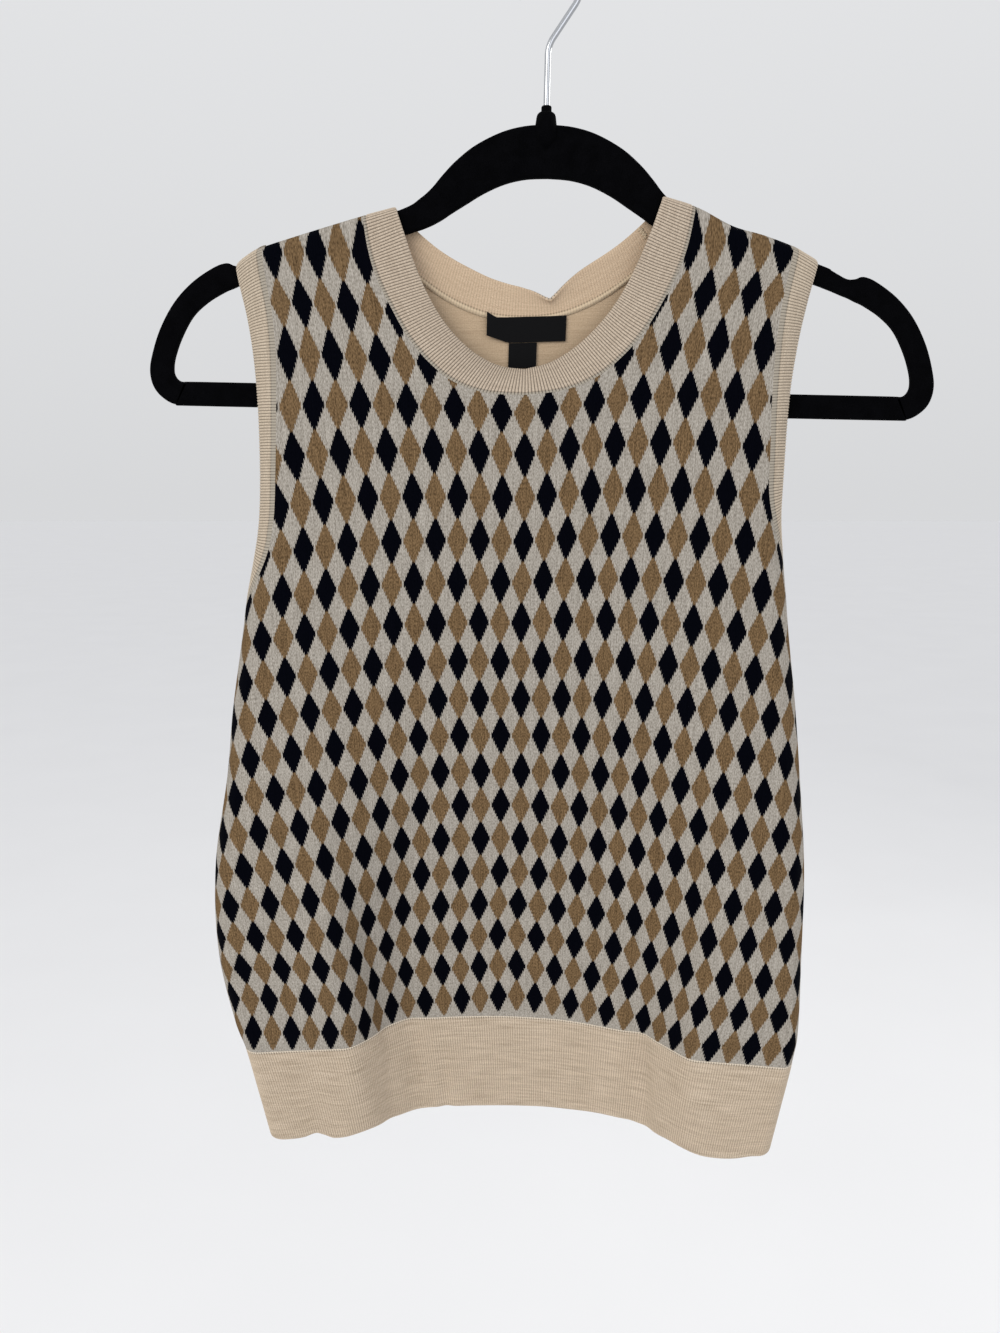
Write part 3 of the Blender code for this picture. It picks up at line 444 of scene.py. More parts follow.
# The seam and the free edge of the neckband, from the shoulder to the middle.
Neck = namedtuple("Neck", "seam_half seam_h free_half free_h lean")
NECK = {}
NECK["front"] = rows_of(
    Neck,
    (91.5, 128.6, 73.5, 123.6, 0.0),
    (88.5, 146.0, 68.5, 138.5, 0.0),
    (84.0, 161.0, 62.5, 155.0, 0.5),
    (76.0, 177.0, 55.5, 170.5, 1.5),
    (66.0, 194.0, 47.5, 183.5, 3.5),
    (54.0, 208.0, 38.0, 194.5, 5.5),
    (40.0, 219.0, 27.0, 203.5, 7.5),
    (22.0, 225.5, 14.0, 209.8, 9.0),
    (0.0, 227.5, 0.0, 212.0, 9.5),
)
NECK["back"] = rows_of(
    Neck,
    (91.5, 128.6, 73.5, 123.6, 0.0),
    (82.0, 142.0, 67.5, 130.5, 0.0),
    (70.0, 153.5, 59.5, 138.0, 0.5),
    (58.0, 163.0, 50.0, 145.5, 1.0),
    (47.0, 170.5, 40.5, 151.5, 1.5),
    (35.5, 176.5, 30.0, 157.0, 2.0),
    (23.0, 181.0, 20.0, 161.5, 2.0),
    (11.0, 183.0, 9.5, 164.5, 2.0),
    (0.0, 183.5, 0.0, 165.5, 2.0),
)
# The armholes: straight down to turn, then round under the arm to bottom.
Armhole = namedtuple("Armhole", "turn bottom")
ARMHOLE = {-1: Armhole(298, 356.9), 1: Armhole(278, 343.9)}
ARMHOLE_ROUNDNESS = 1.7

# Creases too small for the folds above: soft ridges (rise above 0) and troughs along a line from
# (x, h) to (x2, h2), x along the cloth from the centre line, towards +X.  Each fades away past both
# ends of its line.
Crease = namedtuple("Crease", "x h x2 h2 width rise")
CREASE_REACH = 3
CREASE_PAST_END = 0.35
CREASE_FADE = 0.6
CREASES = {
    "front": rows_of(
        Crease,
        (-104, 452, -88, 560, 9, -1.6),
        (-88, 545, -82, 668, 6, -1.4),
        (-60, 560, -52, 668, 13, 1.4),
        (-47, 628, -46, 668, 4, -1.6),
        (-112, 618, -96, 668, 9, 1.8),
        (78, 596, 80, 668, 5, -1.8),
        (108, 480, 100, 600, 12, -1.6),
        (34, 500, 26, 640, 16, 1.2),
        (-10, 540, -14, 660, 18, -1.0),
        (-128, 330, -100, 440, 12, 1.0),
        (122, 320, 96, 430, 12, 1.0),
        (-60, 240, -52, 330, 16, -0.8),
        (60, 245, 48, 340, 18, -0.8),
        (-118, 170, -108, 250, 10, 0.8),
        (116, 165, 104, 250, 10, 0.8),
    ),
    "back": rows_of(
        Crease,
        (-112, 190, -84, 300, 12, -3.6),
        (108, 185, 78, 300, 12, -3.6),
        (-40, 240, -34, 420, 15, 3.8),
        (44, 260, 30, 450, 14, 4.2),
        (-128, 360, -96, 470, 12, -3.8),
        (126, 350, 100, 460, 12, -3.8),
        (-60, 500, -66, 668, 12, -3.6),
        (38, 520, 44, 668, 11, -4.0),
        (-20, 560, -18, 668, 10, 2.8),
        (112, 560, 118, 668, 9, 1.6),
        (-124, 570, -130, 668, 9, 1.6),
    ),
}


def at(table, value):
    """The row of a table at a value between its rows, on a smooth curve through them."""
    value = min(max(value, table[0][0]), table[-1][0])
    i = max(k for k in range(len(table) - 1) if table[k][0] <= value)
    a, b = table[i], table[i + 1]
    before, after = table[max(i - 1, 0)], table[min(i + 2, len(table) - 1)]
    span = b[0] - a[0]
    t = (value - a[0]) / span

    def curve(k):
        start = (b[k] - before[k]) / (b[0] - before[0]) * span
        end = (after[k] - a[k]) / (after[0] - a[0]) * span
        rise = b[k] - a[k]
        return a[k] + t * (start + t * (3 * rise - 2 * start - end + t * (start + end - 2 * rise)))

    return type(a)(value, *(curve(k) for k in range(1, len(a))))


def soft_step(t):
    """0 up to t = 0 and 1 from t = 1, with an S-curve between them."""
    t = min(max(t, 0.0), 1.0)
    return t * t * (3 - 2 * t)


def front_depth(side, x, h):
    """How far the front stands before the hanger; side is -1 for the -X half and 1 for the other."""
    depth = at(FRONT, h).depth
    for table in (LEFT_LOBE,) if side < 0 else (RIGHT_LOBE, RIGHT_RAMP):
        if h > table[0].h:
            fold = at(table, h)
            depth += fold.rise * soft_step((x - fold.x) / fold.width + 0.5)
    return depth


def back_depth(side, x, h):
    """How far the back stands behind the hanger."""
    depth = at(BACK, h).depth
    ridge = BACK_LEFT_RIDGE if side < 0 else BACK_RIGHT_RIDGE
    for table, across in ((BACK_MIDDLE_RIDGE, side * x), (ridge, x)):
        if h > table[0].h:
            fold = at(table, h)
            depth += fold.rise * math.exp(-(((across - fold.x) / fold.width) ** 2))
    return depth


PLATEAU_POINTS = 48
TURN_POINTS = 16
# The side fold: half the width of its blunt bottom, which narrows where the seam is less than
# BLUNT_FROM in, and the radius of its mouth, which keeps to a share of the room there is.
FOLD_BOTTOM, BLUNT_FROM = 1.0, 5
FOLD_RADIUS, FOLD_SHARE, LEAST_RADIUS = 3.4, 0.8, 0.02
CLOTH_STEP = 0.5
# Just over one step, the nearest that a place comes to a section's last point.
END_STEP = 1.0001
# x and y: the cloth's points, one step apart along it.  outermost and seam: the distance along the
# cloth to its outermost line and to the side seam.
Section = namedtuple("Section", "x y step outermost seam centre slope drop")


@lru_cache(maxsize=None)
def section(face, side, h):
    """A quarter of the hanging surface at a whole depth h, in equal steps along the cloth."""
    outline, fold, facing = at(OUTLINE, h), at(SIDE, h), FACING[face]
    if face == "front":
        row, depth = at(FRONT, h), front_depth
        widest, edge, turn = outline.half, -row.edge, row.corner
    else:
        depth = back_depth
        widest, edge, turn = outline.half - fold.back_in, fold.back_edge, at(BACK, h).turn
    run = widest - turn
    points = []
    for k in range(PLATEAU_POINTS + 1):
        x = run * k / PLATEAU_POINTS
        points.append((x, facing * depth(side, x, h)))
    rim = points[-1][1]
    quarter = [math.pi / 2 * k / TURN_POINTS for k in range(1, TURN_POINTS + 1)]
    points += [(run + turn * math.sin(a), edge + (rim - edge) * math.cos(a)) for a in quarter]
    widest_index = len(points) - 1
    seam_x = outline.half - fold.seam_in
    blunt = FOLD_BOTTOM * min(1.0, fold.seam_in / BLUNT_FROM)
    seam_y = fold.seam_y + facing * blunt
    room = FOLD_SHARE * abs(seam_y - edge), FOLD_SHARE * (widest - seam_x) + LEAST_RADIUS
    radius = min(FOLD_RADIUS, *room)
    for a in quarter:
        points.append((widest - radius * (1 - math.cos(a)), edge - facing * radius * math.sin(a)))
    x0, y0 = points[-1]
    for k in range(1, TURN_POINTS + 1):
        t = k / TURN_POINTS
        points.append((x0 + (seam_x - x0) * t, y0 + (seam_y - y0) * soft_step(t)))
    points.append((seam_x - blunt / 2, fold.seam_y))

    places = np.array(points)
    run_along = np.concatenate(([0.0], np.cumsum(np.hypot(*np.diff(places, axis=0).T))))
    total = run_along[-1]
    count = math.ceil(total / CLOTH_STEP)
    even = np.linspace(0, total, count + 1)
    x, y = (np.interp(even, run_along, places[:, k]).tolist() for k in (0, 1))
    hang = outline.centre, outline.slope, outline.drop
    return Section(x, y, total / count, run_along[widest_index], total, *hang)


def cuts(face, side, h):
    """The sections at the whole depths above and below h, each with its share."""
    level = math.floor(h)
    return (section(face, side, level), level + 1 - h), (section(face, side, level + 1), h - level)


def shoulder_line(side, x):
    """The depth of the shoulder line at a distance out from the middle."""
    row = at(RIDGE, x)
    return row.left if side < 0 else row.right


def on_cloth(face, side, s, h):
    """The point of the hanging surface at a distance s from the centre line and a depth h."""
    x = y = centre = slope = drop = 0.0
    for cut, share in cuts(face, side, h):
        k = min(max(s / cut.step, 0.0), len(cut.x) - END_STEP)
        i = int(k)
        k -= i
        x += share * (cut.x[i] + k * (cut.x[i + 1] - cut.x[i]))
        y += share * (cut.y[i] + k * (cut.y[i + 1] - cut.y[i]))
        centre += share * cut.centre
        slope += share * cut.slope
        drop += share * cut.drop
    if h < RIDGE[-1].right + 2 * SHOULDER_ROLL:
        below = min(max((h - shoulder_line(side, x)) / SHOULDER_ROLL, 0.0), 1.0)
        y *= math.sqrt(max(0.0, 1 - (1 - below) ** 2))
    return Vector((centre + side * x, y, -h + slope * side * x - drop * (x / SAG_REACH) ** 2))


def outermost(face, side, h):
    """The distance s of the outermost line at a depth h."""
    return sum(cut.outermost * share for cut, share in cuts(face, side, h))


def side_seam(face, side, h):
    """The distance s of the side seam at a depth h."""
    return sum(cut.seam * share for cut, share in cuts(face, side, h))


def crease_rise(face, side, s, h):
    """How far the small creases lift the cloth at a place."""
    rise = 0.0
    for crease in CREASES[face]:
        along_x, along_h = crease.x2 - crease.x, crease.h2 - crease.h
        from_x, from_h = side * s - crease.x, h - crease.h
        length = math.hypot(along_x, along_h)
        t = (from_x * along_x + from_h * along_h) / length**2
        before_end = min(t, 1 - t) + CREASE_PAST_END
        off = (from_x * along_h - from_h * along_x) / length / crease.width
        if before_end > 0 and abs(off) < CREASE_REACH:
            start = soft_step((t + CREASE_PAST_END) / CREASE_FADE)
            end = soft_step((1 + CREASE_PAST_END - t) / CREASE_FADE)
            rise += crease.rise * (start * end) * math.exp(-off * off)
    return rise


PROBE = 1.0
# Near the side seam the cloth is tucked in, so a wall there points straight out of the side.
SEAM_TUCK = 6.0


def cloth_frame(face, side, s, h):
    """The creased surface at a place, and the unit direction out of the vest there."""
    across = on_cloth(face, side, s + PROBE, h) - on_cloth(face, side, s - PROBE, h)
    down = on_cloth(face, side, s, h + PROBE) - on_cloth(face, side, s, h - PROBE)
    out = (across.cross(down) * side * FACING[face]).normalized()
    near_seam = 1 - min(max((side_seam(face, side, h) - s) / SEAM_TUCK, 0.0), 1.0)
    out = (out * (1 - near_seam) + Vector((side, 0, 0)) * near_seam).normalized()
    rise = crease_rise(face, side, s, h) * (1 - near_seam)
    return on_cloth(face, side, s, h) + out * rise, out


def neck_row(face, side, step):
    """The neckline's row at a fractional row number; it starts on the shoulder line."""
    top, row = NECK[face][0], along(NECK[face], step)
    fade = max(1.0 - step, 0.0)
    return row._replace(
        seam_h=row.seam_h + fade * (shoulder_line(side, top.seam_half) - top.seam_h),
        free_h=row.free_h + fade * (shoulder_line(side, top.free_half) - top.free_h),
    )


HALVINGS = 30


def first_place(low, high, reached):
    """The first place between two places where something is reached, found by halving."""
    for _ in range(HALVINGS):
        middle = (low + high) / 2
        if reached(middle):
            high = middle
        else:
            low = middle
    return (low + high) / 2


@lru_cache(maxsize=None)
def neck_step(face, side, value, column):
    """The row number at which a falling or rising column of the neckline reaches a value."""
    last = len(NECK[face]) - 1.0
    rising = NECK[face][-1][column] > NECK[face][0][column]

    def reached(step):
        return (neck_row(face, side, step)[column] < value) != rising

    return first_place(0.0, last, reached)


# The courses and wales that a panel is worked on, in strips: the strap runs from the neckline to
# the armhole, the middle hangs below the neckline, and the flanks lie under the arms.
MIDDLE, STRAP, FLANK = 4, 5, 6
STRAP_ROWS, YOKE_ROWS, BODY_ROWS = 8, 4, 15
YOKE_END = STRAP_ROWS + YOKE_ROWS
# How far the first rows lie below the shoulder line, where the cloth rolls over the hanger.
ROLL = (0.0, 0.7, 2.2, 5.0)
# Where a strap ends: the neckline's row there, and how much lower it ends at the armhole.
StrapEnd = namedtuple("StrapEnd", "neck_row lower")
STRAP_END = {"front": StrapEnd(4, 8.0), "back": StrapEnd(3, 26.0)}
# The outer end of the shoulder line, both as a depth and as a distance out.
SHOULDER_END = 150.0


def strap_level(face, side, row, along_strap, x):
    """The depth of a strap's row, which starts on the shoulder line and ends almost level."""
    top, end = shoulder_line(side, x), STRAP_END[face]
    bottom = NECK[face][end.neck_row].seam_h + end.lower * along_strap
    rolled = len(ROLL) - 1
    if row < rolled:
        return top + float(np.interp(row, range(len(ROLL)), ROLL))
    return top + ROLL[-1] + (bottom - top - ROLL[-1]) * (row - rolled) / (STRAP_ROWS - rolled)


@lru_cache(maxsize=None)
def strap_neck(face, side, row):
    """The neckline's row number where a strap's row starts."""
    if row in (0, STRAP_ROWS):
        return float(STRAP_END[face].neck_row) if row else 0.0
    level = strap_level(face, side, row, 0.0, NECK[face][0].seam_half)
    return neck_step(face, side, level, Neck._fields.index("seam_h"))


def armhole_edge(face, side, h, inset=0.0):
    """The distance s of the armhole's seam above its turn; inset: out from it, on the armband."""
    return outermost(face, side, h) - ARMBAND_WIDTH + inset


def armhole_level(face, side, row):
    """The depth at which a row of the strap or the yoke meets the armhole."""
    if row <= STRAP_ROWS:
        return strap_level(face, side, row, 1.0, armhole_edge(face, side, SHOULDER_END))
    top = strap_level(face, side, STRAP_ROWS, 1.0, SHOULDER_END)
    return top + (ARMHOLE[side].turn - top) * (row - STRAP_ROWS) / YOKE_ROWS


def armhole_turn(face, side, t, inset):
    """A place (s, h) on the armhole's turn under the arm, t from 0 to 1."""
    start = armhole_edge(face, side, ARMHOLE[side].turn, inset)
    bottom = ARMHOLE[side].bottom - inset
    end = side_seam(face, side, bottom)
    power = 2 / ARMHOLE_ROUNDNESS
    a = math.pi / 2 * t
    s = end - (end - start) * max(math.cos(a), 0.0) ** power
    return s, ARMHOLE[side].turn + (bottom - ARMHOLE[side].turn) * math.sin(a) ** power


@lru_cache(maxsize=None)
def silhouette_turn(face, side):
    """How far round the armhole's turn, from 0 to 1, its seam crosses the outermost line."""

    def past_outermost(t):
        s, h = armhole_turn(face, side, t, 0.0)
        return s >= outermost(face, side, h)

    return first_place(0.0, 1.0, past_outermost)


def flank_turn(face, side, station):
    """How far round the armhole's turn a station is; the middle one is on the outermost line."""
    turn, half = silhouette_turn(face, side), FLANK / 2
    if station <= half:
        return turn * station / half
    return turn + (1 - turn) * (station - half) / half


def column_top(face, side, column):
    """The place (s, h) where a column of the panel enters the body below the arms."""
    inner = NECK[face][STRAP_END[face].neck_row].seam_half
    outer = armhole_edge(face, side, ARMHOLE[side].turn)
    if column <= MIDDLE:
        return inner * column / MIDDLE, ARMHOLE[side].turn
    strap = column - MIDDLE
    if strap <= STRAP:
        return inner + (outer - inner) * strap / STRAP, ARMHOLE[side].turn
    return armhole_turn(face, side, flank_turn(face, side, strap - STRAP), 0.0)


def column_distance(face, side, column, h):
    """The distance s of a column at a depth h below the arms; one column is the outermost line."""
    top_s, top_h = column_top(face, side, column)
    edge, top_edge = outermost(face, side, h), outermost(face, side, top_h)
    if column <= MIDDLE + STRAP + FLANK / 2:
        return top_s * edge / top_edge
    seam = side_seam(face, side, max(h, ARMHOLE[side].bottom))
    top_seam = side_seam(face, side, ARMHOLE[side].bottom)
    return edge + (seam - edge) * (top_s - top_edge) / (top_seam - top_edge)


def panel_place(face, side, column, row):
    """The place (s, h) on the panel at a fractional column, out from the centre line, and row."""
    strap = (column - MIDDLE) / STRAP
    if row <= STRAP_ROWS and 0 <= strap <= 1:
        neck = neck_row(face, side, strap_neck(face, side, row))
        h1 = armhole_level(face, side, row)
        s1 = armhole_edge(face, side, h1)
        s = neck.seam_half + (s1 - neck.seam_half) * strap
        if row < STRAP_ROWS and 0 < strap < 1:
            return s, strap_level(face, side, row, strap, s)
        return s, neck.seam_h + (h1 - neck.seam_h) * strap
    top_s, top_h = column_top(face, side, column)
    if row <= YOKE_END and strap <= 1:
        t = (row - STRAP_ROWS) / YOKE_ROWS
        if strap >= 0:
            s0, h0 = panel_place(face, side, column, STRAP_ROWS)
        else:
            s0 = top_s
            h0 = neck_row(face, side, neck_step(face, side, s0, 0)).seam_h
        h = h0 + (ARMHOLE[side].turn - h0) * t
        if strap == 1:
            return armhole_edge(face, side, h), h
        return s0 + (top_s - s0) * t, h
    h = top_h + (HEM_SEAM - top_h) * (row - YOKE_END) / BODY_ROWS
    return column_distance(face, side, column, h), h


def knit_wall(columns, rows, place, weave, left_out=None, ring=False):
    """A closed wall of cloth from a flat grid.

    place(column, row) gives the outer and the inner point, weave(column, row) the place in the
    knitting, left_out(column, row) the cells that are cut away.  A ring is welded where its ends
    meet.  The outer side takes the first material, and the inner side the second.
    """
    bm = bmesh.new()
    knitting = bm.loops.layers.uv.new("knitting")
    bmesh.ops.create_grid(bm, x_segments=columns, y_segments=rows, size=0.5)
    if left_out:
        centres = ((face, face.calc_center_median()) for face in bm.faces)
        cut = [face for face, c in centres if left_out((c.x + 0.5) * columns, (c.y + 0.5) * rows)]
        bmesh.ops.delete(bm, geom=cut, context="FACES")
    made = bmesh.ops.extrude_face_region(bm, geom=bm.faces[:])
    inner = [item for item in made["geom"] if isinstance(item, bmesh.types.BMVert)]
    bmesh.ops.translate(bm, verts=inner, vec=(0, 0, 1))
    if ring:
        ends = [face for face in bm.faces if abs(face.calc_center_median().x) > 0.49999]
        bmesh.ops.delete(bm, geom=ends, context="FACES")
    weave, place = lru_cache(maxsize=None)(weave), lru_cache(maxsize=None)(place)
    for face in bm.faces:
        face.material_index = int(all(vert.co.z > 0.5 for vert in face.verts))
        for loop in face.loops:
            loop[knitting].uv = weave(*grid_place(loop.vert, columns, rows))
    for vert in bm.verts:
        vert.co = place(*grid_place(vert, columns, rows))[round(vert.co.z)] * MM
    bmesh.ops.remove_doubles(bm, verts=bm.verts, dist=1e-6)
    bmesh.ops.recalc_face_normals(bm, faces=bm.faces)
    return finished(bm, "knit")


# How many finer columns and rows each column and row of the panel is drawn in.
FINE_COLUMNS = 5
FINE_ROWS = [3] * 3 + [5] * (STRAP_ROWS - 3) + [8] * (YOKE_ROWS + BODY_ROWS)
PANEL_LEVELS = [k + j / fine for k, fine in enumerate(FINE_ROWS) for j in range(fine)]
PANEL_LEVELS.append(len(FINE_ROWS))
SHOULDER_GAP = 0.05


def panel_mesh(face, weave):
    """The front or back panel, from the shoulders and the neckline down to the hem rib."""
    half = (MIDDLE + STRAP + FLANK) * FINE_COLUMNS

    def where(column, row):
        side = -1 if column < half else 1
        return side, *panel_place(face, side, abs(column - half) / FINE_COLUMNS, PANEL_LEVELS[row])

    def place(column, row):
        side, s, h = where(column, row)
        if row == 0:
            point = on_cloth(face, side, s, h)
            point.y = FACING[face] * SHOULDER_GAP
            return point, point - Vector((0, 0, PANEL_WALL))
        point, out = cloth_frame(face, side, s, h)
        return point, point - out * PANEL_WALL

    def left_out(column, row):
        out, level = abs(column - half) / FINE_COLUMNS, PANEL_LEVELS[int(row)]
        if level < STRAP_ROWS:
            return out < MIDDLE or out > MIDDLE + STRAP
        return level < YOKE_END and out > MIDDLE + STRAP

    def knitted(column, row):
        return weave(*where(column, row))

    return knit_wall(2 * half, len(PANEL_LEVELS) - 1, place, knitted, left_out)


# Where the diamonds lie.  Columns: the pattern's column at the centre line, and how it grows with
# the distance from it, in columns per 100 mm and per 100 mm squared, on the -X and the +X side.
Columns = namedtuple("Columns", "h centre left left_bend right right_bend")
COLUMNS = rows_of(
    Columns,
    (100, 0.40, 3.50, -2.05, 6.10, 1.45),
    (125, 0.48, 4.27, -1.67, 6.35, 1.02),
    (155, 0.67, 5.21, -1.22, 6.66, 0.50),
    (185, 0.86, 6.20, -0.84, 7.12, 0.32),
    (215, 0.94, 7.25, -0.26, 7.63, 0.02),
    (250, 0.94, 7.84, 0.11, 7.95, -0.12),
    (300, 0.79, 7.98, -0.03, 8.26, -0.22),
    (360, 0.73, 8.29, 0.12, 8.33, -0.10),
    (430, 0.62, 8.37, 0.04, 8.57, -0.04),
    (490, 0.47, 8.43, -0.05, 8.62, -0.03),
    (530, 0.57, 8.55, -0.07, 8.34, 0.17),
    (565, 0.79, 8.63, -0.15, 8.56, 0.03),
    (602, 1.09, 8.95, 0.06, 9.20, -0.24),
)
# Rows: the pattern's row at the centre line, and how it grows sideways in the same way.
Rows = namedtuple("Rows", "h row left left_bow right right_bow")
ROWS = rows_of(
    Rows,
    (100, -5.34, 1.94, -0.99, 2.72, -1.58),
    (125, -4.61, 1.71, -0.79, 2.39, -1.33),
    (155, -3.73, 1.44, -0.55, 1.99, -1.02),
    (185, -2.54, 1.16, -0.34, 1.59, -0.71),
    (215, -1.13, 0.83, -0.33, 1.09, -0.60),
    (250, 0.53, 0.53, -0.35, 0.64, -0.49),
    (300, 2.62, 0.31, -0.26, 0.40, -0.33),
    (360, 5.22, 0.14, -0.14, 0.30, -0.23),
    (430, 8.40, 0.02, -0.08, -0.03, -0.02),
    (490, 11.26, -0.16, 0.03, -0.39, 0.21),
    (530, 13.17, -0.38, 0.19, -0.49, 0.26),
    (565, 14.87, -0.46, 0.28, -0.49, 0.24),
    (602, 16.68, -0.41, 0.20, -0.46, 0.22),
)
# Whole diamonds added so that both counts stay above zero.
COUNT_FROM = 40


def diamond_place(side, s, h):
    """The place in the pattern: columns and rows of diamonds."""
    columns, rows = at(COLUMNS, h), at(ROWS, h)
    away = s / 100
    if side < 0:
        column = columns.centre - away * (columns.left - away * columns.left_bend)
        row = rows.row + away * (rows.left + away * rows.left_bow)
    else:
        column = columns.centre + away * (columns.right + away * columns.right_bend)
        row = rows.row + away * (rows.right + away * rows.right_bow)
    return column + COUNT_FROM, row + COUNT_FROM


# A diamond is 12 wales wide and 11 courses high, one wale from the next.  The coloured stitches
# are plump and cover a little of the ground above and below them.
WALES = 13
COURSES = 11
DIAMOND_REACH = 6.02
LEG_RISE = 1.2
PLUMP = 0.4
# The last half row of diamonds, above the hem.
LAST_ROW = COUNT_FROM + 16.5
BOTH = slice(0, 2)


def jacquard_knit():
    # Three-colour merino jacquard, matt and a little fuzzy.  Its face stitches are long, 0.95 mm
    # by 2 mm, and their two legs rise to the edges of the wale, so each diamond's edges are
    # stepped into small barbs that point up.
    look, tree, shader = new_look("merino_harlequin_jacquard")
    place = add(tree, "UVMap", uv_map="knitting")
    column, row = add(tree, "SeparateXYZ", (place,), output=BOTH)
    wale = add(tree, "Math", (column, WALES), operation="MULTIPLY")
    course = add(tree, "Math", (row, COURSES, 0.5 + LEG_RISE / 2), operation="MULTIPLY_ADD")
    from_wale_edge = add(tree, "Math", (wale, 0.5), operation="PINGPONG")
    slanted = add(tree, "Math", (from_wale_edge, -LEG_RISE, course), operation="MULTIPLY_ADD")
    stitch_column = add(tree, "Math", (wale,), operation="FLOOR")
    u = add(tree, "Math", (stitch_column, 1 / WALES, 0.5 / WALES), operation="MULTIPLY_ADD")
    v = add(tree, "Math", (slanted, 1 / COURSES, -0.5 / COURSES), operation="MULTIPLY_ADD")
    off_column = add(tree, "Math", (u, 0.5), operation="PINGPONG")
    off_row = add(tree, "Math", (v, 0.5), operation="PINGPONG")
    plumped = add(tree, "Math", (off_row, COURSES, 0.5 - PLUMP), operation="MULTIPLY_ADD")
    off_courses = add(tree, "Math", (plumped,), operation="FLOOR")
    reach = add(tree, "Math", (off_column, WALES, off_courses), operation="MULTIPLY_ADD")
    inside = add(tree, "Math", (reach, DIAMOND_REACH), operation="LESS_THAN")
    above_hem = add(tree, "Math", (v, LAST_ROW), operation="LESS_THAN")
    diamond = add(tree, "Math", (inside, above_hem), operation="MULTIPLY")
    nearest_column = add(tree, "Math", (u,), operation="ROUND")
    nearest_row = add(tree, "Math", (v,), operation="ROUND")
    both = add(tree, "Math", (nearest_column, nearest_row), operation="ADD")
    odd = add(tree, "Math", (both, 2.0), operation="FLOORED_MODULO")

    stitches = add(tree, "CombineXYZ", (wale, course, 0.0))
    drawn_out = add(tree, "Mapping", {"Vector": stitches, "Scale": (1.3, 0.14, 1.0)})
    heather = add(tree, "TexNoise", {"Vector": drawn_out, "Scale": 1.0, "Detail": 3.0})
    speck = add(tree, "TexNoise", {"Vector": stitches, "Scale": 1.5, "Detail": 1.0})
    mixed = add(tree, "Math", (heather, 0.65, speck), operation="MULTIPLY_ADD")
    tone = add(tree, "MapRange", (mixed, 0.55, 1.1, 0.0, 1.0))

    oatmeal, navy, tan = (
        add(tree, "Mix", {0: tone, 6: linear(dark), 7: linear(light)}, **COLOURS)
        for dark, light in (("#7F786E", "#BBB4AA"), ("#010207", "#04050C"), ("#463624", "#896F50"))
    )
    coloured = add(tree, "Mix", {0: odd, 6: navy, 7: tan}, **COLOURS)
    knitted = add(tree, "Mix", {0: diamond, 6: oatmeal, 7: coloured}, **COLOURS)

    # Each leg of a stitch is a rounded strand with a shadow between it and the next.
    strand = add(tree, "Math", (wale, 0.25), operation="PINGPONG")
    end = add(tree, "Math", (slanted, 0.5), operation="PINGPONG")
    leg = add(tree, "Math", (strand, 2.0, end), operation="MULTIPLY_ADD")
    shade = add(tree, "MapRange", (leg, 0.0, 0.6, 0.72, 1.0))
    shaded = add(tree, "Mix", {0: 1.0, 6: knitted, 7: shade}, blend_type="MULTIPLY", **COLOURS)
    fuzz = add(tree, "Math", (speck, 0.5, leg), operation="MULTIPLY_ADD")
    bump = add(tree, "Bump", {"Strength": 0.5, "Distance": 0.2 * MM, "Height": fuzz})
    finish = {"Base Color": shaded, "Roughness": 0.95, "Specular IOR Level": 0.03, "Normal": bump}
    feed(tree, shader, finish)
    return look


def jacquard_floats():
    # The reverse of the jacquard: the three yarns show in turn as fine flecks, mostly oatmeal.
    look, tree, shader = new_look("jacquard_reverse_flecked")
    place = add(tree, "UVMap", uv_map="knitting")
    stitches = add(tree, "Mapping", {"Vector": place, "Scale": (WALES, COURSES * 2, 1.0)})
    flecks = add(tree, "TexVoronoi", {"Vector": stitches, "Scale": 1.0}, output="Color")
    chance, other_chance = add(tree, "SeparateXYZ", (flecks,), output=BOTH)
    is_navy = add(tree, "Math", (chance, 0.28), operation="LESS_THAN")
    is_tan = add(tree, "Math", (other_chance, 0.3), operation="LESS_THAN")
    warm = add(tree, "Mix", {0: is_tan, 6: linear("#A39A8C"), 7: linear("#7C6445")}, **COLOURS)
    flecked = add(tree, "Mix", {0: is_navy, 6: warm, 7: linear("#15161F")}, **COLOURS)
    lumps = add(tree, "TexNoise", {"Vector": stitches, "Scale": 1.0, "Detail": 1.0})
    bump = add(tree, "Bump", {"Strength": 0.5, "Distance": 0.25 * MM, "Height": lumps})
    finish = {"Base Color": flecked, "Roughness": 0.95, "Specular IOR Level": 0.08, "Normal": bump}
    feed(tree, shader, {"Sheen Weight": 0.02, **finish})
    return look


front = put("harlequin_front", panel_mesh("front", diamond_place), jacquard_knit(), jacquard_floats())
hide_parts("front_panel")


# ----------------------------------------------------------------------
# The back panel.  The same cut with a higher neckline, in plain cream jersey of the same merino,
# joined to the front at the shoulders and the side seams.  It hangs in soft, shallow folds.
# ----------------------------------------------------------------------

WALE_WIDTH = 1.1
COURSE_HEIGHT = 0.9


def jersey_place(side, s, h):
    """The place in plain jersey: wales and courses."""
    return side * s / WALE_WIDTH, h / COURSE_HEIGHT


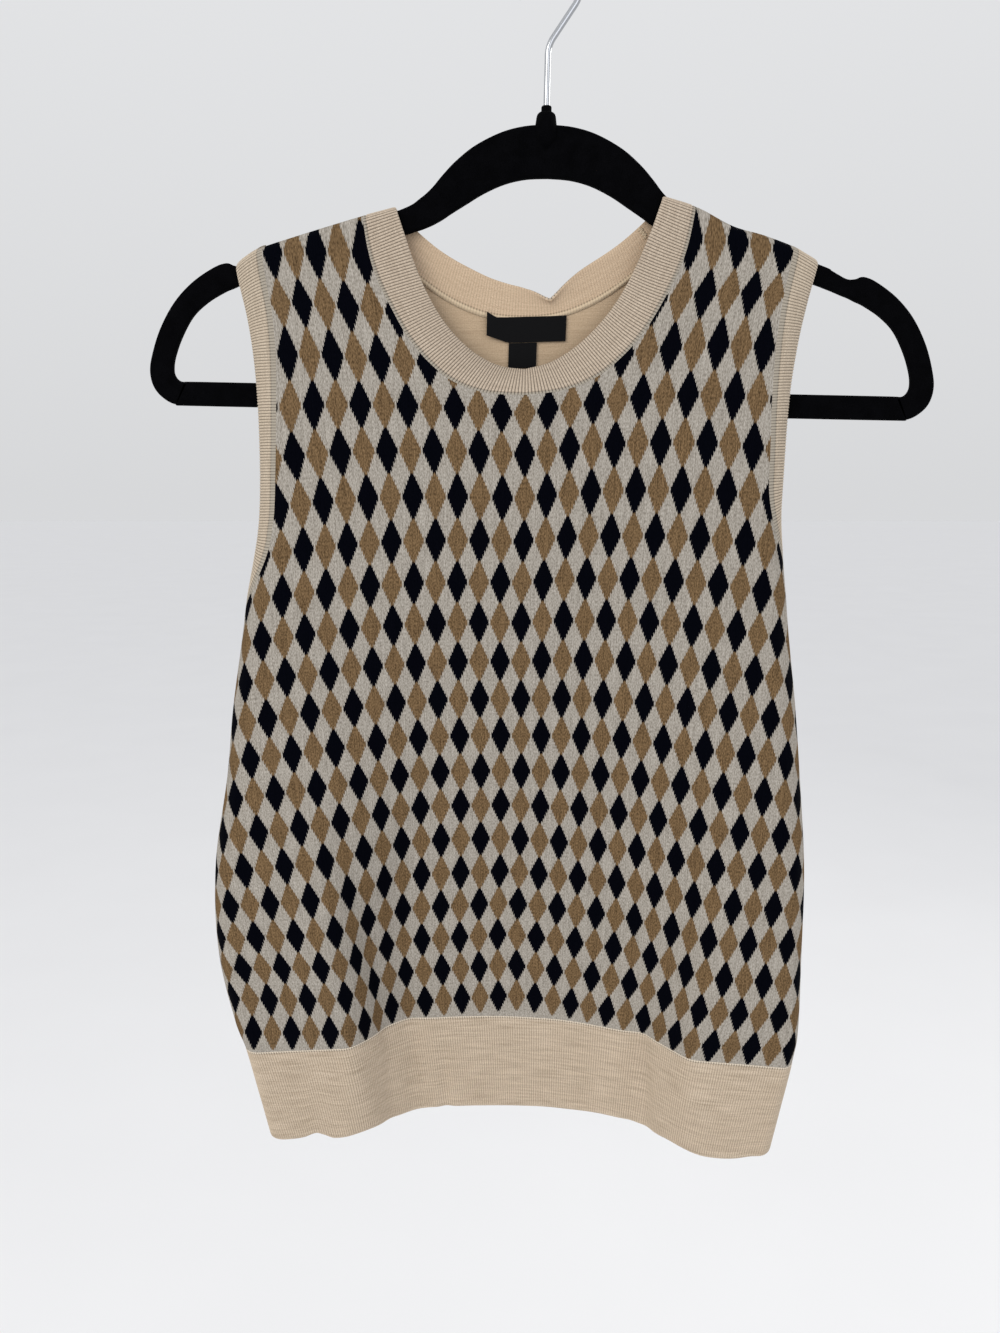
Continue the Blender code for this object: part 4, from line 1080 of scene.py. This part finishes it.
def slubbed_cream(tree, place, streak, slubs, speck_size, tones, dark, light):
    """Cream wool with slubs along its courses: its colour, and the fine specks of its fibres."""
    streaked = add(tree, "Mapping", {"Vector": place, "Scale": (*streak, 1.0)})
    slub = add(tree, "TexNoise", {"Vector": streaked, "Scale": 1.0, "Detail": 2.0})
    speck = add(tree, "TexNoise", {"Vector": place, "Scale": speck_size, "Detail": 1.0})
    mixed = add(tree, "Math", (slub, slubs, speck), operation="MULTIPLY_ADD")
    tone = add(tree, "MapRange", (mixed, *tones, 0.0, 1.0))
    return add(tree, "Mix", {0: tone, 6: linear(dark), 7: linear(light)}, **COLOURS), speck


def finish_wool(tree, shader, cream, shade, height, roughness):
    """Shade the wool between its strands, raise them, and give it the dull bloom of merino."""
    shaded = add(tree, "Mix", {0: 1.0, 6: cream, 7: shade}, blend_type="MULTIPLY", **COLOURS)
    bump = add(tree, "Bump", {"Strength": 0.5, "Distance": 0.22 * MM, "Height": height})
    feed(tree, shader, {"Base Color": shaded, "Roughness": roughness, "Specular IOR Level": 0.1})
    feed(tree, shader, {"Sheen Weight": 0.03, "Sheen Roughness": 0.6, "Normal": bump})


def cream_jersey(name, reverse, *creams):
    # Plain merino jersey: on its face, columns of small V stitches, 1.1 mm by 0.9 mm; on its
    # reverse, level rows of small bumps.  Warm cream, dull, with slightly uneven courses.
    look, tree, shader = new_look(name)
    place = add(tree, "UVMap", uv_map="knitting")
    wale, course = add(tree, "SeparateXYZ", (place,), output=BOTH)
    leg_rise, leg_width, leg_height = (0.1, 0.5, 0.7) if reverse else (1.4, 0.25, 2.0)
    from_edge = add(tree, "Math", (wale, 0.5), operation="PINGPONG")
    slanted = add(tree, "Math", (from_edge, -leg_rise, course), operation="MULTIPLY_ADD")
    strand = add(tree, "Math", (wale, leg_width), operation="PINGPONG")
    end = add(tree, "Math", (slanted, 0.5), operation="PINGPONG")
    leg = add(tree, "Math", (strand, leg_height, end), operation="MULTIPLY_ADD")
    cream, _ = slubbed_cream(tree, place, (0.05, 1.1), 0.8, 1.3, (0.6, 1.2), *creams)
    shade = add(tree, "MapRange", (leg, 0.0, 0.7, 0.9, 1.0))
    finish_wool(tree, shader, cream, shade, leg, 0.92)
    return look


back = put(
    "plain_back",
    panel_mesh("back", jersey_place),
    cream_jersey("cream_merino_jersey", False, "#B3A08B", "#CDBBA7"),
    cream_jersey("cream_jersey_reverse", True, "#AE977C", "#C6AF93"),
)
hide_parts("back_panel")


# ----------------------------------------------------------------------
# The neckband.  A strip of fine 1x1 rib, closed into a ring at the wearer's left shoulder and
# linked to the neckline stitch by stitch.  It leans in at its free edge and buckles once at the
# back.
# ----------------------------------------------------------------------

RIB_WALL = 2.0
RIB_RISE = 0.22
BAND_RIB = 1.6
STEPS_PER_RIB = 6
BAND_COURSES = 16
BUCKLE_X, BUCKLE_WIDTH, BUCKLE_DIP, BUCKLE_FORWARD, BUCKLE_POINT = 13.0, 9.5, 9.6, 3.0, 1.25
FREE_EDGE_RISE = 3.0
# A band from its seam to its free edge.  across: the place, 0 at the seam and 1 at the free edge.
# rib: the share of the ribs' relief.  rise: how far its face stands out.  worn: how far both faces
# round in to the edge.  welt: the raised seam on the inside.  The first rows lie under the panel's
# edge, and a thin groove follows the linking.
BandRow = namedtuple("BandRow", "across rib rise worn welt", defaults=(0.0, 0.0, 0.0))
BAND_SEAM = rows_of(
    BandRow,
    (-0.07, 0.0, -1.3, 0.0, 0.1), (-0.02, 0.0, -1.2, 0.0, 0.7), (0.0, 0.0, 0.0, 0.0, 0.9),
)
NECKBAND_ROWS = BAND_SEAM + rows_of(
    BandRow,
    (0.03, 0.3, 0.05, 0.0, 0.9), (0.06, 0.3, 0.05, 0.0, 0.6), (0.08, 0.0, -0.2, 0.0, 0.2),
    (0.11, 0.6), (0.15, 1.1), (0.3, 1.1), (0.46, 1.0), (0.62, 1.0), (0.78, 1.0), (0.9, 1.0),
    (0.96, 0.8, 0.0, 0.05), (0.99, 0.5, 0.0, 0.3), (1.0, 0.3, 0.0, 0.65),
)
BAND_QUARTERS = (("front", -1), ("front", 1), ("back", 1), ("back", -1))
NECK_LAST = len(NECK["front"]) - 1


def neck_quarter(progress):
    """The face, the side and the neckline's row number at a place round the ring, from 0 to 4."""
    progress %= 4
    quarter = int(progress)
    step = NECK_LAST * (progress - quarter)
    face, side = BAND_QUARTERS[quarter]
    return face, side, NECK_LAST - step if quarter % 2 else step


def neckband_point(progress, across):
    """The neckband's outer face, across from 0 at the seam to 1 at its free edge."""
    face, side, step = neck_quarter(progress)
    row = neck_row(face, side, step)
    s = row.seam_half + (row.free_half - row.seam_half) * across
    h = row.seam_h + (row.free_h - row.seam_h) * across
    lean = row.lean * across * abs(across)
    if face == "front" and side > 0:
        h -= FREE_EDGE_RISE * across * abs(across) * math.sin(math.pi * step / NECK_LAST)
    if face == "back":
        off = abs((side * s - BUCKLE_X) / BUCKLE_WIDTH)
        buckle = math.exp(-(off**BUCKLE_POINT)) * across * abs(across)
        h += BUCKLE_DIP * buckle
        lean += BUCKLE_FORWARD * buckle
    out = FACING[face] * (crease_rise(face, side, s, h) - lean)
    return on_cloth(face, side, max(s, 0.0), h) + Vector((0, out, 0))


RING_SAMPLES = 800
# A band's outward direction is measured RING_PROBE ribs to each side and WIDTH_PROBE of its width
# up and down, and no nearer its two edges than STEADY_FROM and STEADY_TO.
RING_PROBE, WIDTH_PROBE, STEADY_FROM, STEADY_TO = 1.2, 0.1, 0.12, 0.85


def even_stations(point_at, last, pitch):
    """A ring's whole number of ribs, and the places round it in STEPS_PER_RIB steps for each."""
    places = [last * k / RING_SAMPLES for k in range(RING_SAMPLES + 1)]
    points = [point_at(place) for place in places]
    run = [0.0]
    for a, b in zip(points, points[1:]):
        run.append(run[-1] + (b - a).length)
    ribs = round(run[-1] / pitch)
    even = np.linspace(0, run[-1], ribs * STEPS_PER_RIB + 1)
    return ribs, np.interp(even, run, places).tolist()


def rib_relief(column):
    """How far a column of a rib stands out: up on the cord and down in the hollow beside it."""
    return RIB_RISE * (2 * abs(math.cos(math.pi * column / STEPS_PER_RIB)) - 1)


def ribbed_ring(point_at, last, rows, turned):
    """A ribbed band from point_at(progress, across), a ring of ribs that run across it.

    turned is 1 where the ring's progress and its width make it face outwards, or else -1.
    """
    ribs, stations = even_stations(lambda place: point_at(place, 0.5), last, BAND_RIB)
    columns = len(stations) - 1
    step = RING_PROBE * last / ribs

    def place(column, row):
        progress, cut = stations[column % columns], rows[row]
        steady = min(max(cut.across, STEADY_FROM), STEADY_TO)
        around = point_at(progress + step, steady) - point_at(progress - step, steady)
        over = point_at(progress, steady + WIDTH_PROBE) - point_at(progress, steady - WIDTH_PROBE)
        out = around.cross(over).normalized() * turned
        point = point_at(progress, cut.across)
        inner = point - out * (RIB_WALL + cut.welt - cut.worn)
        return point + out * (rib_relief(column) * cut.rib + cut.rise - cut.worn), inner

    def weave(column, row):
        return column / STEPS_PER_RIB, rows[row].across * BAND_COURSES

    return knit_wall(columns, len(rows) - 1, place, weave, ring=True)


def rib_knit(name, dark, light, slubs, hollow, groove, linking):
    # 1x1 merino rib: round cords about 1.5 mm apart, the hollow between them darkened with painted
    # shade, each made of small V stitches about 1 mm high.  Cream, dull, with slubs that run along
    # the courses.
    # Its first courses are the linking, in its own yarn on the bands and in a lighter cream on the
    # hem, which is painted highlight; a fine groove after them is marked with painted shade.
    look, tree, shader = new_look(name)
    place = add(tree, "UVMap", uv_map="knitting")
    rib, course = add(tree, "SeparateXYZ", (place,), output=BOTH)
    tones = 0.3 + 0.4 * slubs, 0.7 + 0.6 * slubs
    cream, speck = slubbed_cream(tree, place, (0.07, 0.9), slubs, 1.7, tones, dark, light)
    past_groove = add(tree, "MapRange", (course, groove - 0.4, groove + 0.2, 0.0, 1.0))
    cream = add(tree, "Mix", {0: past_groove, 6: linear(linking), 7: cream}, **COLOURS)
    from_rib = add(tree, "Math", (rib, 0.5), operation="PINGPONG")
    # Painted shade: the hollow between the cords is darkened down to the hollow share of the colour.
    hollow_shade = add(tree, "MapRange", (from_rib, 0.24, 0.5, 1.0, hollow), interpolation_type="SMOOTHSTEP")
    off_groove = add(tree, "Math", (course, groove), operation="SUBTRACT")
    from_groove = add(tree, "Math", (off_groove,), operation="ABSOLUTE")
    # Painted shade in the groove: small dark marks between the linking stitches.
    groove_shade = add(tree, "MapRange", (from_rib, 0.1, 0.5, 0.85, 0.45))
    shade_in_groove = add(tree, "MapRange", {0: from_groove, 1: 0.15, 2: 0.6, 3: groove_shade, 4: 1.0})
    shade = add(tree, "Math", (hollow_shade, shade_in_groove), operation="MULTIPLY")
    slanted = add(tree, "Math", (from_rib, -1.6, course), operation="MULTIPLY_ADD")
    leg = add(tree, "Math", (slanted, 0.5), operation="PINGPONG")
    height = add(tree, "Math", (speck, 0.4, leg), operation="MULTIPLY_ADD")
    finish_wool(tree, shader, cream, shade, height, 0.95)
    return look


BAND_GROOVE = 0.08 * BAND_COURSES
OATMEAL_LINKING = "#A59C8E"
band_rib = rib_knit(
    "cream_merino_band_rib", "#AB9B89", "#CABAA7", 0.5, 0.32, BAND_GROOVE, OATMEAL_LINKING
)
neck_inside = rib_knit(
    "cream_merino_band_rib_reverse", "#B8A086", "#CFB89D", 0.5, 0.8, BAND_GROOVE, "#CDB99D"
)
neck_mesh = ribbed_ring(neckband_point, len(BAND_QUARTERS), NECKBAND_ROWS, 1)
neckband = put("neck_rib", neck_mesh, band_rib, neck_inside)
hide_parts("neckband")

# The band's two ends are joined by a few loops of the same yarn, inside by the +X shoulder.
JOIN_PLACE, JOIN_STITCHES, JOIN_HALF, JOIN_START, JOIN_LENGTH = 2.22, 7, 0.013, 0.62, 0.33
YARN_RADIUS, YARN_CLEAR, YARN_SINK = 0.5, 0.35, 0.3
join_route = []
for k in range(4 * JOIN_STITCHES + 1):
    swing = math.sin(math.pi * k / 4)
    across = JOIN_START + JOIN_LENGTH * k / (4 * JOIN_STITCHES)
    stitch = neckband_point(JOIN_PLACE + JOIN_HALF * swing, across)
    join_route.append(stitch - Vector((0, RIB_WALL + YARN_CLEAR - YARN_SINK * abs(swing), 0)))
join_mesh = wire_mesh(join_route, YARN_RADIUS, sides=8, rounded=1.0, turned=Matrix.Identity(4))
join_mesh.uv_layers.new(name="knitting")
neck_join = put("neck_rib_join", join_mesh, neck_inside)


# ----------------------------------------------------------------------
# The armbands.  Two more rings of the same rib, round the armholes: over the shoulder, straight
# down the front and the back, and round under the arm to the side seam.
# ----------------------------------------------------------------------

ARM_STATIONS = YOKE_END + FLANK
# The linking is a strip of three courses in the panel's oatmeal yarn, wider than the neckband's.
ARMBAND_ROWS = BAND_SEAM + rows_of(
    BandRow,
    (0.09, 0.1, 0.0, 0.0, 0.9), (0.16, 0.3, 0.0, 0.0, 0.6), (0.19, 0.0, -0.14, 0.0, 0.2),
    (0.225, 0.6), (0.28, 1.0), (0.39, 1.0), (0.57, 1.0), (0.76, 1.0), (0.9, 1.0),
    (0.96, 0.8, 0.0, 0.05), (0.985, 0.5, 0.0, 0.3), (1.0, 0.3, 0.0, 0.65),
)
ARMBAND_GROOVE = 0.19 * BAND_COURSES


def armband_place(face, side, station, inset):
    """A place (s, h) on the armband, in from its seam, from the shoulder to the side seam."""
    if station > YOKE_END:
        turn = flank_turn(face, side, min(station, ARM_STATIONS) - YOKE_END)
        return armhole_turn(face, side, turn, inset)
    h = armhole_level(face, side, station)
    if station < STRAP_ROWS:
        h = strap_level(face, side, station, 1.0, armhole_edge(face, side, SHOULDER_END, inset))
    return armhole_edge(face, side, h, inset), h


SHOULDER_MEET = 3.0


def armband_point(side):
    """The armband's outer face as point_at(progress, across), round from the shoulder."""

    def on_face(face, station, across):
        s, h = armband_place(face, side, station, ARMBAND_WIDTH * across)
        out = FACING[face] * crease_rise(face, side, s, h)
        return on_cloth(face, side, s, h) + Vector((0, out, 0))

    def point_at(progress, across):
        progress %= 2
        face = "front" if progress <= 1 else "back"
        station = ARM_STATIONS * (progress if progress <= 1 else 2 - progress)
        point = on_face(face, station, across)
        if station < SHOULDER_MEET:
            # The front and the back half meet midway, on the shoulder line.
            front_end, back_end = on_face("front", 0.0, across), on_face("back", 0.0, across)
            apart = (back_end - front_end) / 2 * -FACING[face]
            point += apart * (1 - soft_step(station / SHOULDER_MEET))
        return point

    return point_at


arm_rib = rib_knit(
    "cream_merino_armband_rib", "#AE9F8C", "#CCBDA9", 0.5, 0.42, ARMBAND_GROOVE, OATMEAL_LINKING
)
# Cut for the armhole's seam edge: 497 mm round on the -X side and 457 mm on the other.
for side, name, cut_length in ((-1, "right_armband", 0.497), (1, "left_armband", 0.457)):
    mesh = ribbed_ring(armband_point(side), 2, ARMBAND_ROWS, side)
    armband = put(name.replace("band", "_rib"), mesh, arm_rib, arm_rib)
    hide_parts(name)


# ----------------------------------------------------------------------
# The hem.  A deep rib in two halves, knitted on below the panels and joined at the side seams.
# It draws the cloth in a little, and its edge follows the folds of the cloth above.
# ----------------------------------------------------------------------

HEM_RIB = 1.5
# How much lower the front's edge hangs than a level one, along its seam towards +X.
HemEdge = namedtuple("HemEdge", "s lower")
FRONT_HEM_EDGE = rows_of(
    HemEdge,
    (-160, 0.0), (-150, 0.0), (-142, -0.9), (-134, -3.4), (-130, -2.2), (-124, 0.4), (-112, -0.6),
    (-101, -0.6), (-90, 1.4), (-78, 3.6), (-66, 4.0), (-54, 2.7), (-20, 2.4), (10, 2.0),
    (28, 2.4), (50, 1.5), (68, 2.6), (80, 2.9), (90, 2.0), (100, 0.6), (111, 0.8), (121, 3.4),
    (131, 4.2), (141, 3.4), (150, 1.2), (160, 0.0),
)
# The hem from its seam to its edge: the depth below the seam, the share of the ribs' relief, and
# how far both faces round in to the edge.
HemRow = namedtuple("HemRow", "down rib worn", defaults=(1.0, 0.0))
HEM_ROWS = rows_of(
    HemRow,
    (0.0, 0.3, 0.15), (0.7, 1.3), (1.6, 0.4, 0.12), (2.6,), (7.0,), (12.0,), (17.5,), (23.0,),
    (29.0,), (35.0,), (41.0,), (47.0,), (52.0,), (56.5,), (57.8, 0.8, 0.05), (58.6, 0.5, 0.3),
    (HEM_EDGE - HEM_SEAM, 0.3, 0.65),
)


def hem_mesh(face):
    """The front or back half of the ribbed hem."""
    reach = side_seam(face, 1, HEM_SEAM)
    ribs = 2 * round(reach / HEM_RIB)
    columns = ribs * STEPS_PER_RIB

    def place(column, row):
        out, cut = 2 * column / columns - 1, HEM_ROWS[row]
        side = -1 if out < 0 else 1
        h = HEM_SEAM + cut.down
        if face == "front":
            lower = at(FRONT_HEM_EDGE, out * side_seam(face, side, h)).lower
            h += lower * cut.down / (HEM_EDGE - HEM_SEAM)
        point, outward = cloth_frame(face, side, abs(out) * side_seam(face, side, h), h)
        inner = point - outward * (RIB_WALL - cut.worn)
        return point + outward * (rib_relief(column) * cut.rib - cut.worn), inner

    def weave(column, row):
        return column / STEPS_PER_RIB, HEM_ROWS[row].down

    return knit_wall(columns, len(HEM_ROWS) - 1, place, weave)


# The hem's linking is a lighter cream than its rib: painted highlight on the raised linking stitches.
hem_rib = rib_knit("cream_merino_hem_rib", "#AE9D88", "#D0BFAA", 1.4, 0.76, 1.0, "#D9CBB8")
# Each half is as wide at its seam as the panel above it, and 59 mm deep before it sags.
for face in ("front", "back"):
    hem = put(f"{face}_hem", hem_mesh(face), hem_rib, hem_rib)
    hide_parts(f"{face}_hem_rib")


# ----------------------------------------------------------------------
# The labels.  Folded black satin ribbon, cut with heat and stitched to the inside of the back just
# below the neckband: a wide main label left bare, and a small size tab under it.
# ----------------------------------------------------------------------


def black_satin():
    # Woven polyester satin: near black, with fine level ribs 0.3 mm apart and a soft sheen.
    look, tree, shader = new_look("black_woven_satin")
    place = add(tree, "UVMap", uv_map="knitting")
    threads = add(tree, "Mapping", {"Vector": place, "Scale": (0.3, 3.0, 1.0)})
    weft = add(tree, "TexNoise", {"Vector": threads, "Scale": 1.0, "Detail": 2.0})
    colour = add(tree, "Mix", {0: weft, 6: linear("#030304"), 7: linear("#09090B")}, **COLOURS)
    bump = add(tree, "Bump", {"Strength": 0.4, "Distance": 0.08 * MM, "Height": weft})
    finish = {"Base Color": colour, "Roughness": 0.5, "Specular IOR Level": 0.08, "Normal": bump}
    feed(tree, shader, finish)
    return look


LABEL_WALL = 0.5
LABEL_CLEAR = 0.9
LABEL_COLUMNS, LABEL_ROWS = 24, 8
# The share of its length over which the loose end and its corner curl, and how far each folds up.
END_SHARE, END_FOLD, END_LIFT = 0.28, 4.2, 2.0
CORNER_SHARE, CORNER_FOLD = 0.12, 3.2


def label_mesh(middle, half, top, bottom, curl):
    """A label on the inside of the back; curl is how far its -X end lifts and folds up."""

    def place(column, row):
        x = middle + half * (2 * column / LABEL_COLUMNS - 1)
        side = -1 if x < 0 else 1
        share, down = column / LABEL_COLUMNS, row / LABEL_ROWS
        end = max(1 - share / END_SHARE, 0.0) * curl
        corner = max(1 - share / CORNER_SHARE, 0.0) * curl
        h = top + (bottom - top) * down - END_FOLD * end * down - CORNER_FOLD * corner * (1 - down)
        point, out = cloth_frame("back", side, abs(x), h)
        lifted = PANEL_WALL + LABEL_CLEAR + END_LIFT * end**2
        return point - out * (lifted + LABEL_WALL), point - out * lifted

    def weave(column, row):
        return 2 * half * column / LABEL_COLUMNS, (bottom - top) * row / LABEL_ROWS

    return knit_wall(LABEL_COLUMNS, LABEL_ROWS, place, weave)


satin = black_satin()
for name, node, middle, half, top, bottom, curl in (
    ("bare_main_label", "main_label", 0.2, 22.6, 182.6, 196.5, 1.0),
    ("bare_size_tab", "size_tab", -1.5, 8.0, 196.8, 210.5, 0.0),
):
    put(name, label_mesh(middle, half, top, bottom, curl), satin)
    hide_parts(node)


# ----------------------------------------------------------------------
# The floor, the lights and the camera.
# ----------------------------------------------------------------------

# Here sizes are in metres.
FLOOR_LEVEL = -1.5
FLOOR_REACH = 40


def studio_floor():
    # A pale matt painted floor, very slightly mottled.
    look, tree, shader = new_look("pale_studio_floor")
    place = add(tree, "TexCoord", output="Object")
    grain = add(tree, "TexNoise", {"Vector": place, "Scale": 3.0, "Detail": 2.0})
    pale = add(tree, "Mix", {0: grain, 6: linear("#EAEAEB"), 7: linear("#EEEEEF")}, **COLOURS)
    feed(tree, shader, {"Base Color": pale, "Roughness": 0.9, "Specular IOR Level": 0.1})
    return look


bm = bmesh.new()
bmesh.ops.create_grid(bm, x_segments=4, y_segments=4, size=FLOOR_REACH)
bmesh.ops.translate(bm, verts=bm.verts, vec=(0, 0, FLOOR_LEVEL))
floor_mesh = finished(bm, "floor")
floor_mesh.materials.append(studio_floor())
floor = stand("floor", floor_mesh)

# The room is a little brighter overhead, so that the floor ends in the same pale grey as the wall
# of light behind it.
world = bpy.data.worlds.new("studio")
world.use_nodes = True
room = world.node_tree
facing = add(room, "TexCoord", output="Generated")
height = add(room, "SeparateXYZ", (facing,), output="Z")
bright = add(room, "MapRange", (height, 0.0, 1.0, 0.70, 0.91))
feed(room, room.nodes["Background"].inputs, {"Color": linear("#FCFDFF"), "Strength": bright})
bpy.context.scene.world = world
bpy.context.scene.view_settings.view_transform = "Standard"

Softbox = namedtuple("Softbox", "name place aim size power colour")
SOFTBOXES = rows_of(
    Softbox,
    ("key", (-1.8, -2.3, 0.9), (0, 0, -0.38), 1.8, 38.0, "#FFFDF8"),
    ("behind", (2.0, 1.1, 0.8), (0, 0, -0.38), 1.0, 16.0, "#FFFDF8"),
    ("fill", (1.4, -2.6, 0.3), (0, 0, -0.5), 1.8, 11.0, "#F4F7FF"),
)
for box in SOFTBOXES:
    light = bpy.data.lights.new(box.name, "AREA")
    light.size = box.size
    light.energy = box.power
    light.color = linear(box.colour)[:3]
    lamp = stand(box.name, light)
    lamp.location = box.place
    lamp.rotation_euler = (Vector(box.aim) - Vector(box.place)).to_track_quat("-Z", "Y").to_euler()
    lamp.visible_camera = False

camera = bpy.data.cameras.new("camera")
camera.sensor_fit = "HORIZONTAL"
camera.sensor_width = 36.0
camera.lens = 36.0
camera.clip_start = 0.01
view = stand("camera", camera)
view.location = (-0.0268, -0.588, -0.2796)
view.rotation_euler = (math.radians(80), 0, 0)
bpy.context.scene.camera = view
